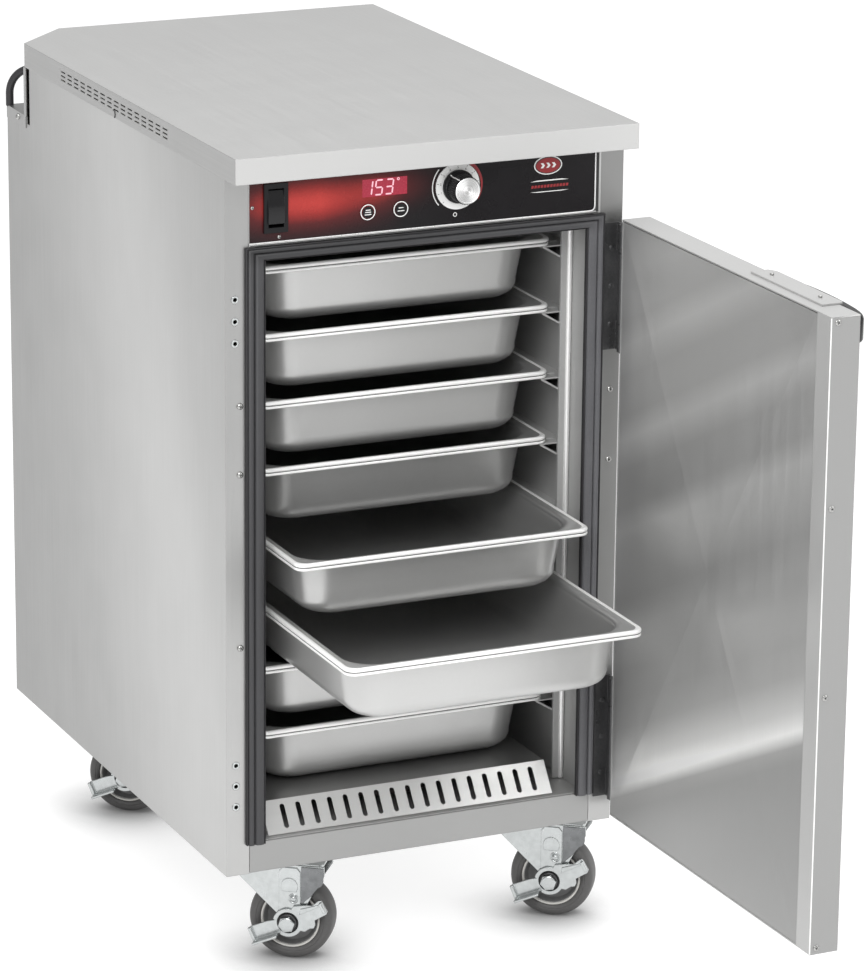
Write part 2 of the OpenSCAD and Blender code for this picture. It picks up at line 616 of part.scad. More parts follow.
top_cover();
side_left();
side_right();
rear_panel();
base_pan();
front_sill();
control_panel();
overlay();
control_tray();
rocker_bezel();
rocker();
display_lens();
button_left();
button_right();
dial_plate();
dial_knob();
thermostat();
liner();
insulation();
pan_racks();
heater_cover();
heating_element();
door_gasket();
body_screws();
hinge_inserts();
corner_pocket();
power_cord();
door_shell();
door_skin();
door_core();
door_fasteners();
hood_plate();
door_grip();
leaf_stile();
leaf_door();
caster_mounts();
fork_fl();
wheel_fl();
tyre_fl();
brake_fl();
fork_fr();
wheel_fr();
tyre_fr();
brake_fr();
fork_rl();
wheel_rl();
tyre_rl();
brake_rl();
fork_rr();
wheel_rr();
tyre_rr();
brake_rr();
pan_1();
pan_2();
pan_3();
pan_4();
pan_5();
pan_6();
pan_7();
pan_8();
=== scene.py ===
"""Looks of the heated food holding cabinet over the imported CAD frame. Metres, +Z up, the front faces -Y."""
import bpy
import bmesh
import math
from mathutils import Matrix, Vector

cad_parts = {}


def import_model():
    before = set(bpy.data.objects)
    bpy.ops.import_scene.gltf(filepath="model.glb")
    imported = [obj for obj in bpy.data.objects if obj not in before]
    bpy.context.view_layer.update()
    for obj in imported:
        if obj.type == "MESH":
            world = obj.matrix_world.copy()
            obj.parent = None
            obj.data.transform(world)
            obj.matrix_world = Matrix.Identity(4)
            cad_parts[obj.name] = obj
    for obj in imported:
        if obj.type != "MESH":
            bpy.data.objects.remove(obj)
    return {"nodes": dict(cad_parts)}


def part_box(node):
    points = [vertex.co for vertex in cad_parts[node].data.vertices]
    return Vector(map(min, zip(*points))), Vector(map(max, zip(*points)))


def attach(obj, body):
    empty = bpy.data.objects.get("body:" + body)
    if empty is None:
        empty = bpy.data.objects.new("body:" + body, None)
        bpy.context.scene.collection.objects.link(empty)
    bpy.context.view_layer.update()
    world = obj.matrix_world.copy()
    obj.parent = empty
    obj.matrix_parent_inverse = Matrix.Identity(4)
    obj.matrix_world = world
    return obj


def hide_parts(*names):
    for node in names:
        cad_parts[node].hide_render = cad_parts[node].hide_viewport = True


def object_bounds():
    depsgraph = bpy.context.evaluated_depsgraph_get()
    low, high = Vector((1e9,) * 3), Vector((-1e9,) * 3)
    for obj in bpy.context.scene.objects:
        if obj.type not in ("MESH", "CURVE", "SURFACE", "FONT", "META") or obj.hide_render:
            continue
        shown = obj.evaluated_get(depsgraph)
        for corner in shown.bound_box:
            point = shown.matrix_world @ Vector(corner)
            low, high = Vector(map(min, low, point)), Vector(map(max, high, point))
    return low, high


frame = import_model()
cad_box = [list(v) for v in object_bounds()]
MM = 0.001

# ---------- where things are ----------
left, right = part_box("side_left"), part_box("side_right")
# the middle of the body's front bottom edge
ORIGIN = Vector(((left[0].x + right[1].x) / 2, left[0].y, left[0].z))
HOME = Matrix.Translation(ORIGIN)
CASTERS = ("fl", "fr", "rl", "rr")
CASTER_TURN = math.radians(36)      # how far each caster has swung at rest


def at(x, y, z):
    """A point given in millimetres from ORIGIN."""
    return ORIGIN + Vector((x, y, z)) * MM


def centre(node):
    lo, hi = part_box(node)
    return (lo + hi) / 2


def local_box(node):
    """A node's lowest and highest corners in millimetres from ORIGIN."""
    return [(v - ORIGIN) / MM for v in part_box(node)]


# ---------- materials ----------
def shader(name):
    m = bpy.data.materials.new(name)
    m.use_nodes = True
    nt = m.node_tree
    nt.nodes.clear()
    out = nt.nodes.new("ShaderNodeOutputMaterial")
    b = nt.nodes.new("ShaderNodeBsdfPrincipled")
    nt.links.new(b.outputs[0], out.inputs[0])
    return m, nt, b


def put(nt, socket, value):
    if hasattr(value, "is_output"):
        nt.links.new(value, socket)
    else:
        socket.default_value = value


def math_node(nt, op, a, b=0.0):
    n = nt.nodes.new("ShaderNodeMath")
    n.operation = op
    put(nt, n.inputs[0], a)
    put(nt, n.inputs[1], b)
    return n.outputs[0]


def times(nt, a, b):
    return math_node(nt, "MULTIPLY", a, b)


def plus(nt, a, b):
    return math_node(nt, "ADD", a, b)


def minus(nt, a, b):
    return math_node(nt, "SUBTRACT", a, b)


def ratio(nt, a, b):
    return math_node(nt, "DIVIDE", a, b)


def noise(nt, scale, detail=3.0, offset=0.0):
    """Noise over object coordinates, with its own scale along x, y and z in cycles per metre."""
    tc = nt.nodes.new("ShaderNodeTexCoord")
    mp = nt.nodes.new("ShaderNodeMapping")
    mp.inputs["Scale"].default_value = scale
    mp.inputs["Location"].default_value = (offset, offset * 0.7, offset * 1.3)
    nt.links.new(tc.outputs["Object"], mp.inputs[0])
    n = nt.nodes.new("ShaderNodeTexNoise")
    n.inputs["Scale"].default_value = 1.0
    n.inputs["Detail"].default_value = detail
    nt.links.new(mp.outputs[0], n.inputs["Vector"])
    return n.outputs[0]


def spread(nt, value, lo, hi, src=(0.3, 0.7)):
    n = nt.nodes.new("ShaderNodeMapRange")
    put(nt, n.inputs["Value"], value)
    n.inputs["From Min"].default_value, n.inputs["From Max"].default_value = src
    n.inputs["To Min"].default_value, n.inputs["To Max"].default_value = lo, hi
    return n.outputs[0]


def ramp(nt, value, stops):
    n = nt.nodes.new("ShaderNodeValToRGB")
    put(nt, n.inputs[0], value)
    e = n.color_ramp.elements
    while len(e) < len(stops):
        e.new(0.5)
    for el, (p, c) in zip(e, stops):
        el.position = p
        el.color = (*c, 1.0)
    return n.outputs[0]


def rounded(nt, b, height, strength, distance, edge):
    """Rounds the edges in shading and lays a fine bump over the surface."""
    bump = nt.nodes.new("ShaderNodeBump")
    bump.inputs["Strength"].default_value = strength
    bump.inputs["Distance"].default_value = distance
    put(nt, bump.inputs["Height"], height)
    if edge:
        bev = nt.nodes.new("ShaderNodeBevel")
        bev.samples = 4
        bev.inputs["Radius"].default_value = edge
        nt.links.new(bev.outputs[0], bump.inputs["Normal"])
    nt.links.new(bump.outputs[0], b.inputs["Normal"])


GRAIN = {"x": (7, 620, 620), "y": (620, 7, 620), "z": (620, 620, 7), "all": (240, 240, 240)}


def scaled(nt, colour, stops, axis, span, source="Object"):
    """Colour times a grey ramp over span along a direction, by position or by the surface's normal: the way
    painted light and shade are laid into a tone.
    """
    if source == "Position":
        vector = nt.nodes.new("ShaderNodeNewGeometry").outputs["Position"]
    else:
        vector = nt.nodes.new("ShaderNodeTexCoord").outputs[source]
    dot = nt.nodes.new("ShaderNodeVectorMath")
    dot.operation = "DOT_PRODUCT"
    nt.links.new(vector, dot.inputs[0])
    dot.inputs[1].default_value = axis
    top = max(f for _, f in stops)
    fac = ramp(nt, spread(nt, dot.outputs["Value"], 0.0, 1.0, span), [(p, (f / top,) * 3) for p, f in stops])
    out = colour
    for factor in (fac, (top, top, top, 1.0)):
        mul = nt.nodes.new("ShaderNodeMix")
        mul.data_type, mul.blend_type = "RGBA", "MULTIPLY"
        mul.inputs[0].default_value = 1.0
        nt.links.new(out, mul.inputs[6])
        put(nt, mul.inputs[7], factor)
        out = mul.outputs[2]
    return out


def steel(name, tone, rough, grain="z", vary=0.03, bump=0.06, edge=0.0012, tint=(1, 1, 0.99), shades=(),
          metal=1.0, creased=None):
    """Satin stainless sheet: brushed streaks, slow clouding, faint smudges and rubbed patches; shades lay
    painted light and shade over its tone.
    """
    m, nt, b = shader(name)
    streak = noise(nt, GRAIN[grain], 4.0)
    cloud = noise(nt, (3.1, 3.1, 2.3), 3.0, 5.0)
    smudge = noise(nt, (19, 19, 16), 5.0, 11.0)
    mix = plus(nt, times(nt, streak, 0.5), times(nt, cloud, 0.5))
    colour = ramp(nt, mix, [(0.30, [tone * (1 - vary) * t for t in tint]),
                            (0.70, [tone * (1 + vary) * t for t in tint])])
    for args in shades:
        colour = scaled(nt, colour, *args)
    nt.links.new(colour, b.inputs["Base Color"])
    b.inputs["Metallic"].default_value = metal
    r1 = spread(nt, streak, rough * 0.88, rough * 1.12)
    r2 = spread(nt, smudge, -0.02, 0.025)
    nt.links.new(plus(nt, r1, r2), b.inputs["Roughness"])
    rounded(nt, b, streak, bump, 0.0002, edge)
    if creased:
        creases(nt, b, *creased)
    return m


def creases(nt, b, lo, hi):
    """Two folds from corner to corner of an upright panel that lies along y."""
    tc = nt.nodes.new("ShaderNodeTexCoord")
    sep = nt.nodes.new("ShaderNodeSeparateXYZ")
    nt.links.new(tc.outputs["Object"], sep.inputs[0])
    u = ratio(nt, minus(nt, sep.outputs[1], lo.y), hi.y - lo.y)
    v = ratio(nt, minus(nt, sep.outputs[2], lo.z), hi.z - lo.z)
    one = math_node(nt, "ABSOLUTE", minus(nt, u, v))
    two = math_node(nt, "ABSOLUTE", minus(nt, plus(nt, u, v), 1.0))
    near = math_node(nt, "MINIMUM", one, two)
    ridge = spread(nt, near, 1.0, 0.0, (0.0, 0.035))
    old = b.inputs["Normal"].links[0].from_socket
    bump = nt.nodes.new("ShaderNodeBump")
    bump.inputs["Strength"].default_value = 0.3
    bump.inputs["Distance"].default_value = 0.001
    nt.links.new(ridge, bump.inputs["Height"])
    nt.links.new(old, bump.inputs["Normal"])
    nt.links.new(bump.outputs[0], b.inputs["Normal"])


def plain(name, colour, rough, metal=0.0, scale=300, vary=0.12, bump=0.15, edge=0.0006, coat=0.0, spec=0.5,
          shades=()):
    """Moulded or cast surface: mottled colour, fine pebble bump and uneven gloss; shades lay painted light
    and shade over its colour.
    """
    m, nt, b = shader(name)
    fine = noise(nt, (scale,) * 3, 4.0)
    slow = noise(nt, (23, 23, 23), 4.0, 3.0)
    mix = plus(nt, times(nt, fine, 0.45), times(nt, slow, 0.55))
    mottle = ramp(nt, mix, [(0.3, [c * (1 - vary) for c in colour]), (0.7, [c * (1 + vary) for c in colour])])
    for args in shades:
        mottle = scaled(nt, mottle, *args)
    nt.links.new(mottle, b.inputs["Base Color"])
    b.inputs["Metallic"].default_value = metal
    b.inputs["Coat Weight"].default_value = coat
    b.inputs["Specular IOR Level"].default_value = spec
    nt.links.new(spread(nt, slow, max(rough - 0.07, 0.03), rough + 0.07), b.inputs["Roughness"])
    rounded(nt, b, fine, bump, 0.0002, edge)
    return m


def glow(name, colour, strength, base=(0.02, 0.02, 0.02), rough=0.3):
    m, nt, b = shader(name)
    n = noise(nt, (500,) * 3, 2.0)
    nt.links.new(ramp(nt, n, [(0.3, [c * 0.9 for c in colour]), (0.7, colour)]), b.inputs["Emission Color"])
    b.inputs["Emission Strength"].default_value = strength
    b.inputs["Base Color"].default_value = (*base, 1)
    nt.links.new(spread(nt, n, rough * 0.8, rough * 1.2), b.inputs["Roughness"])
    return m


def overlay_film():
    """Printed film: a red streak across its left end that fades to black; its colour is also given out as a
    faint painted glow.
    """
    m, nt, b = shader("film")
    tc = nt.nodes.new("ShaderNodeTexCoord")
    sep = nt.nodes.new("ShaderNodeSeparateXYZ")
    nt.links.new(tc.outputs["Object"], sep.inputs[0])
    lo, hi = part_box("overlay")
    x = ratio(nt, minus(nt, sep.outputs[0], lo.x), hi.x - lo.x)
    z = ratio(nt, minus(nt, sep.outputs[2], lo.z), hi.z - lo.z)
    along = ramp(nt, x, [(0.0, (0.45,) * 3), (0.08, (0.95,) * 3), (0.20, (1.0,) * 3), (0.33, (0.42,) * 3),
                         (0.44, (0.0,) * 3)])
    off = ratio(nt, minus(nt, z, 0.56), 0.33)
    across = math_node(nt, "EXPONENT", times(nt, times(nt, off, off), -1.0))
    f = times(nt, along, across)
    # painted glow: a soft halo of light round the display window, laid into the film's colour
    window = centre("display_lens")
    dx = ratio(nt, minus(nt, sep.outputs[0], window.x), 0.036)
    dz = ratio(nt, minus(nt, sep.outputs[2], window.z), 0.016)
    r2 = plus(nt, times(nt, dx, dx), times(nt, dz, dz))
    painted_display_glow = times(nt, math_node(nt, "EXPONENT", times(nt, r2, -1.0)), 0.45)
    f = plus(nt, f, painted_display_glow)
    grain = spread(nt, noise(nt, (900,) * 3, 2.0), 0.94, 1.06)
    f = times(nt, f, grain)
    colour = ramp(nt, f, [(0.0, (0.006, 0.005, 0.006)), (0.35, (0.075, 0.010, 0.011)),
                          (0.7, (0.25, 0.022, 0.020)),
                          (1.0, (0.42, 0.040, 0.034))])
    nt.links.new(colour, b.inputs["Base Color"])
    # the colour doubles as emission, so the printed film gives out a faint painted glow
    nt.links.new(colour, b.inputs["Emission Color"])
    b.inputs["Emission Strength"].default_value = 0.16
    b.inputs["Specular IOR Level"].default_value = 0.22
    nt.links.new(spread(nt, noise(nt, (40,) * 3, 4.0), 0.22, 0.34), b.inputs["Roughness"])
    rounded(nt, b, noise(nt, (1500,) * 3, 2.0), 0.05, 0.0001, 0.0003)
    return m


def spun(name):
    """Turned face of the knob, brushed in circles for anisotropic highlights, with a fan of highlights also
    painted into its colour by angle.
    """
    m, nt, b = shader(name)
    tc = nt.nodes.new("ShaderNodeTexCoord")
    dist = nt.nodes.new("ShaderNodeVectorMath")
    dist.operation = "LENGTH"
    nt.links.new(tc.outputs["Object"], dist.inputs[0])
    rings = nt.nodes.new("ShaderNodeTexNoise")
    rings.noise_dimensions = "1D"
    nt.links.new(times(nt, dist.outputs["Value"], 3000.0), rings.inputs["W"])
    rings.inputs["Scale"].default_value = 1.0
    sep = nt.nodes.new("ShaderNodeSeparateXYZ")
    nt.links.new(tc.outputs["Object"], sep.inputs[0])
    # painted highlight: a fan of light and dark by angle round the face
    turn = math_node(nt, "ARCTAN2", sep.outputs[1], sep.outputs[0])
    painted_fan = math_node(nt, "SINE", plus(nt, times(nt, turn, 2.0), 2.4))
    both = plus(nt, times(nt, painted_fan, 0.36), times(nt, rings.outputs[0], 0.5))
    nt.links.new(ramp(nt, spread(nt, both, 0.0, 1.0, (-0.1, 0.6)),
                      [(0.0, (0.62, 0.62, 0.62)), (0.5, (0.86, 0.86, 0.86)), (1.0, (1.0, 1.0, 1.0))]),
                 b.inputs["Base Color"])
    b.inputs["Metallic"].default_value = 1.0
    nt.links.new(spread(nt, rings.outputs[0], 0.22, 0.32), b.inputs["Roughness"])
    b.inputs["Anisotropic"].default_value = 0.9
    tan = nt.nodes.new("ShaderNodeTangent")
    tan.direction_type, tan.axis = "RADIAL", "Z"
    nt.links.new(tan.outputs[0], b.inputs["Tangent"])
    return m


X, Y, Z = (1, 0, 0), (0, 1, 0), (0, 0, 1)


def facing_down(axis, full, half):
    """Painted light and shade: a tone for the faces that look down an axis, full on, and at a slant."""
    return ((0.0, full), (0.3, half), (0.5, 1.0), (1.0, 1.0)), axis, (-1.0, 1.0), "Normal"


# a painted highlight slanting softly across the left side: its direction, where it starts and ends, its tones
side_depth = left[1].y - left[0].y
SIDE_SLANT = (0, -1, 0.375)
SIDE_START = -(left[0].y + 0.55 * side_depth) + 0.375 * left[0].z
SIDE_SPAN = (SIDE_START - 0.35 * side_depth, SIDE_START + side_depth)
SIDE_HIGHLIGHT_TONES = ((0.0, 0.72), (0.19, 0.78), (0.26, 0.82), (0.33, 0.88), (0.41, 0.97), (0.48, 1.04),
              (0.56, 1.12), (0.63, 1.16), (0.70, 1.14),
              (0.78, 1.03), (0.85, 0.97), (0.93, 0.92), (1.0, 0.90))
# painted reflections: soft streaks across the door's inner skin, which rise slightly towards its free end
skin_lo, skin_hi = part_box("door_skin")
reach, rise = skin_hi.y - skin_lo.y, skin_hi.z - skin_lo.z
DOOR_REACH = (skin_lo.y, skin_hi.y)
DOOR_SLANT = (0, 0.3 * rise / reach, 1)
DOOR_START = skin_lo.z + 0.3 * rise / reach * skin_lo.y
DOOR_SPAN = (DOOR_START, DOOR_START + 1.3 * rise)
DOOR_REFLECTION_TONES = ((0.0, 0.66), (0.23, 0.68), (0.25, 0.80), (0.268, 1.75), (0.295, 1.25), (0.34, 0.90),
              (0.38, 0.82), (0.47, 0.95), (0.51, 0.84),
              (0.56, 1.00), (0.60, 1.12), (0.63, 0.86), (0.68, 0.84), (0.72, 1.12), (0.75, 0.88),
              (0.80, 0.86), (0.84, 1.08), (0.87, 0.90),
              (0.93, 1.02), (1.0, 0.92))

# every look, by name
M = {
    # painted highlight: a soft slanting band of light laid over this steel's tone
    "side": steel("side", 0.44, 0.38, "z", vary=0.015, shades=[(SIDE_HIGHLIGHT_TONES, SIDE_SLANT, SIDE_SPAN)]),
    # a lighter copy of the left side's steel: painted light; darker towards the top and on the faces that
    # look to the front: painted shade
    "side_far": steel("side_far", 0.66, 0.34, "z", vary=0.02,
                      shades=[(((0.0, 1.0), (0.6, 0.66), (1.0, 0.60)), Z, (0.5, 0.85)),
                              facing_down(Y, 0.72, 0.76)]),
    # painted light and shade: the faces that look left darker, those that look to the front lighter
    "top": steel("top", 0.50, 0.42, "y", vary=0.006, bump=0.03, metal=0.55,
                 shades=[facing_down(X, 0.74, 0.80),
                         facing_down(Y, 1.12, 1.08)]),
    "front": steel("front", 0.52, 0.32, "x", vary=0.02),
    "sill": steel("sill", 0.36, 0.34, "x", vary=0.02),
    # painted shade: the faces that look to the front, and those that look left, darker
    "door": steel("door", 0.56, 0.34, "z", vary=0.02, metal=0.4,
                  shades=[facing_down(Y, 0.58, 0.66),
                          facing_down(X, 0.85, 0.90)]),
    # painted light in a gradient along the skin's length, and painted reflections in soft slanting streaks
    "skin": steel("skin", 0.66, 0.42, "z", vary=0.035, bump=0.06, metal=0.8, creased=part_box("door_skin"),
                  shades=[(((0.0, 0.80), (0.2, 0.86), (0.45, 0.93), (0.75, 1.0), (1.0, 0.95)), Y, DOOR_REACH),
                          (DOOR_REFLECTION_TONES, DOOR_SLANT, DOOR_SPAN)]),
    # painted shade on the faces that look up, and a painted highlight that grows towards the right
    "bright": steel("bright", 0.74, 0.36, "x", vary=0.02, edge=0.0008, metal=0.8,
                    shades=[(((0.0, 1.0), (0.9, 1.0), (0.97, 0.5), (1.0, 0.5)), Z, (-1.0, 1.0), "Normal"),
                            (((0.0, 0.85), (0.6, 1.0), (1.0, 1.3)), X, (-0.2, 0.2))]),
    # a very bright steel that stands for the light on round edges: painted highlights on the racks' front
    # edges, the film's edge and the door's folded corner
    "post": steel("post", 0.95, 0.30, "z", vary=0.02, edge=0, metal=0.5),
    "liner": steel("liner", 0.44, 0.40, "y", vary=0.04, metal=0.3),
    "rack": steel("rack", 0.46, 0.38, "y", vary=0.04, metal=0.25),
    # painted light and shade by height in the world: darkest across the middle of the stack, lightest at the
    # top
    "pan": steel("pan", 0.56, 0.34, "all", vary=0.02, bump=0.004, edge=0, metal=0.7,
                 shades=[(((0.0, 0.90), (0.25, 1.0), (0.42, 1.0), (0.52, 0.80), (0.75, 0.90), (1.0, 1.08)),
                          Z, (ORIGIN.z + 0.05, ORIGIN.z + 0.66),
                          "Position")]),
    # a far brighter copy of the pan steel for the rolled rims: a painted highlight
    "rim": steel("rim", 0.98, 0.34, "all", vary=0.01, bump=0.0, edge=0, metal=0.3),
    # a dark grey for the groove under the rim's bead: painted shade
    "groove": plain("groove", (0.20, 0.20, 0.20), 0.4, 0.5, 500, 0.1, 0.02, 0.0),
    "zinc": plain("zinc", (0.54, 0.56, 0.56), 0.24, 1.0, 160, 0.12, 0.12, 0.0008),
    # a darker copy of the zinc for the fork's shoulder: a painted dark reflection
    "shoulder": plain("shoulder", (0.20, 0.205, 0.21), 0.26, 1.0, 160, 0.25, 0.2, 0.0008),
    "screw": plain("screw", (0.44, 0.44, 0.43), 0.25, 1.0, 400, 0.10, 0.05, 0.0003),
    "film": overlay_film(),
    "black": plain("black", (0.007, 0.007, 0.008), 0.34, 0.0, 700, 0.2, 0.08, 0.0006, spec=0.25),
    "gloss": plain("gloss", (0.006, 0.006, 0.007), 0.22, 0.0, 700, 0.2, 0.03, 0.0006, coat=0.1, spec=0.35),
    "hinge": plain("hinge", (0.085, 0.085, 0.087), 0.30, 0.6, 420, 0.25, 0.15, 0.0008),
    # painted light and shade: darker on the left, lighter on the right, darker along the top
    "gasket": plain("gasket", (0.072, 0.072, 0.077), 0.50, 0.0, 500, 0.12, 0.10, 0.0012,
                    shades=[(((0.0, 0.60), (0.45, 0.8), (0.9, 1.0), (1.0, 1.9)), X, (-0.2, 0.2)),
                            (((0.0, 1.0), (0.7, 1.0), (1.0, 0.5)), Z, (0.6, 0.65))]),
    # a darker copy of the rubber for the narrow low ribs: painted shade
    "gasket_dark": plain("gasket_dark", (0.020, 0.019, 0.021), 0.55, 0.0, 500, 0.15, 0.12, 0.0006),
    "cord": plain("cord", (0.022, 0.021, 0.023), 0.46, 0.0, 500, 0.2, 0.12, 0.0006),
    "tyre": plain("tyre", (0.085, 0.083, 0.082), 0.50, 0.0, 420, 0.14, 0.14, 0.0),
    "hub": plain("hub", (0.17, 0.17, 0.17), 0.45, 0.0, 300, 0.18, 0.15, 0.0006),
    "ring": plain("ring", (0.62, 0.61, 0.58), 0.36, 0.0, 300, 0.08, 0.08, 0.0005),
    "white": plain("white", (0.82, 0.82, 0.81), 0.38, 0.0, 300, 0.03, 0.03, 0.0004),
    "ink": plain("ink", (0.78, 0.78, 0.77), 0.5, 0.0, 500, 0.05, 0.02, 0.0),
    "mark": plain("mark", (0.02, 0.02, 0.02), 0.5, 0.0, 500, 0.1, 0.02, 0.0),
    "red": plain("red", (0.26, 0.014, 0.018), 0.35, 0.0, 500, 0.08, 0.02, 0.0),
    "lens": glow("lens", (0.40, 0.012, 0.042), 0.72, (0.12, 0.004, 0.012), 0.25),
    "digit": glow("digit", (1.0, 0.55, 0.64), 1.15),
    "wool": plain("wool", (0.62, 0.55, 0.28), 0.9, 0.0, 260, 0.25, 0.6, 0.0),
    "element": plain("element", (0.10, 0.09, 0.085), 0.45, 0.7, 300, 0.2, 0.2, 0.0),
    "cap": spun("cap"),
}

NODE_LOOK = {
    "top": ["top_cover"],
    "side": ["side_left", "rear_panel", "corner_pocket", "base_pan"],
    "side_far": ["side_right"],
    "front": ["control_panel", "control_tray"],
    "sill": ["front_sill"],
    "door": ["door_shell", "hood_plate"],
    "skin": ["door_skin"],
    "bright": ["heater_cover", "thermostat"],
    "liner": ["liner"],
    "rack": ["pan_racks"],
    "zinc": ["caster_mounts", "hinge_inserts"],
    "film": ["overlay"],
    "black": ["rocker_bezel", "button_left", "button_right"],
    "hinge": ["leaf_stile", "leaf_door"],
    "cord": ["power_cord"],
    "lens": ["display_lens"],
    "white": ["dial_plate"],
    "wool": ["insulation", "door_core"],
    "element": ["heating_element"],
}
for look, names in NODE_LOOK.items():
    for n in names:
        frame["nodes"][n].data.materials.clear()
        frame["nodes"][n].data.materials.append(M[look])


# ---------- building ----------
def piece(name, mesh, look, body, matrix=None, stands_for=(), smooth=35, bevel=0.0, segments=2):
    ob = bpy.data.objects.new(name, mesh)
    bpy.context.scene.collection.objects.link(ob)
    if not mesh.materials:
        for k in ([look] if isinstance(look, str) else look):
            mesh.materials.append(M[k])
    if matrix is not None:
        ob.matrix_world = matrix
    if bevel:
        mod = ob.modifiers.new("bevel", "BEVEL")
        mod.width, mod.segments = bevel * MM, segments
        mod.limit_method, mod.angle_limit = "ANGLE", math.radians(32)
        mod.harden_normals = False
    if smooth:
        for p in mesh.polygons:
            p.use_smooth = True
        mesh.set_sharp_from_angle(angle=math.radians(smooth))
    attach(ob, body)
    if stands_for:
        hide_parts(*stands_for)
    return ob


def mesh_of(name, verts, faces, scale=MM):
    me = bpy.data.meshes.new(name)
    me.from_pydata([Vector(v) * scale for v in verts], [], faces)
    me.update()
    return me


class Shape:
    """Gathers vertices and faces, in millimetres, into one mesh."""

    def __init__(self):
        self.v, self.f, self.m = [], [], []

    def add(self, verts, faces, matrix=None, mat=0):
        k = len(self.v)
        self.v += [tuple(matrix @ Vector(p)) if matrix else tuple(p) for p in verts]
        self.f += [[k + i for i in f] for f in faces]
        self.m += [mat] * len(faces)
        return self

    def box(self, a, b, matrix=None, mat=0):
        p = [(x, y, z) for z in (a[2], b[2]) for y in (a[1], b[1]) for x in (a[0], b[0])]
        f = [(0, 2, 3, 1), (4, 5, 7, 6), (0, 1, 5, 4), (2, 6, 7, 3), (0, 4, 6, 2), (1, 3, 7, 5)]
        return self.add(p, f, matrix, mat)

    def slab(self, outline, z0, z1, matrix=None, mat=0):
        """An outline in x and y, filled between z0 and z1."""
        n = len(outline)
        p = [(x, y, z0) for x, y in outline] + [(x, y, z1) for x, y in outline]
        f = [tuple(range(n))[::-1], tuple(range(n, 2 * n))]
        f += [(i, (i + 1) % n, n + (i + 1) % n, n + i) for i in range(n)]
        return self.add(p, f, matrix, mat)

    def lathe(self, profile, n=48, matrix=None, mat=0, closed=False):
        """A profile of (radius, z) turned about z. Radius 0 at an end makes a pole."""
        p, rows = [], []
        for r, z in profile:
            if r < 1e-6:
                rows.append([len(p)] * n)
                p.append((0, 0, z))
            else:
                rows.append(list(range(len(p), len(p) + n)))
                p += [(r * math.cos(2 * math.pi * i / n), r * math.sin(2 * math.pi * i / n),
                       z) for i in range(n)]
        if closed:
            rows.append(rows[0])
        f = []
        for a, b in zip(rows, rows[1:]):
            for i in range(n):
                q = [a[i], a[(i + 1) % n], b[(i + 1) % n], b[i]]
                q = [x for k, x in enumerate(q) if x not in q[:k]]
                if len(q) > 2:
                    f.append(tuple(q))
        return self.add(p, f, matrix, mat)

    def tube(self, path, r, n=12, matrix=None, mat=0, caps=True):
        """A round tube along a list of points."""
        path = [Vector(p) for p in path]
        up = Vector((0, 0, 1))
        rings = []
        for i, p in enumerate(path):
            t = (path[min(i + 1, len(path) - 1)] - path[max(i - 1, 0)]).normalized()
            if abs(t.dot(up)) > 0.98:
                up = Vector((1, 0, 0))
            u = (up - t * up.dot(t)).normalized()
            w = t.cross(u)
            up = u
            angles = [2 * math.pi * k / n for k in range(n)]
            rings.append([p + (u * math.cos(a) + w * math.sin(a)) * r for a in angles])
        return self.loft(rings, caps, matrix, mat)

    def loft(self, rings, caps=True, matrix=None, mat=0):
        n = len(rings[0])
        p = [q for ring in rings for q in ring]
        f = [(a * n + i, a * n + (i + 1) % n, (a + 1) * n + (i + 1) % n, (a + 1) * n + i)
             for a in range(len(rings) - 1) for i in range(n)]
        if caps:
            f += [tuple(range(n))[::-1], tuple(range((len(rings) - 1) * n, len(rings) * n))]
        return self.add(p, f, matrix, mat)

    def mesh(self, name, weld=False):
        me = mesh_of(name, self.v, self.f)
        for p, k in zip(me.polygons, self.m):
            p.material_index = k
        bm = bmesh.new()
        bm.from_mesh(me)
        if weld:
            bmesh.ops.remove_doubles(bm, verts=bm.verts, dist=2e-6)
        bmesh.ops.recalc_face_normals(bm, faces=bm.faces)
        bm.to_mesh(me)
        bm.free()
        return me


def arc(cx, cy, r, a0, a1, n=12):
    return [(cx + r * math.cos(math.radians(a0 + (a1 - a0) * i / n)),
             cy + r * math.sin(math.radians(a0 + (a1 - a0) * i / n)))
            for i in range(n + 1)]


def round_rect(w, l, r, n=9):
    """Half sizes w and l, corner radius r, anticlockwise."""
    out = []
    for sx, sy, a in ((1, 1, 0), (-1, 1, 90), (-1, -1, 180), (1, -1, 270)):
        out += arc(sx * (w - r), sy * (l - r), r, a, a + 90, n)
    return out


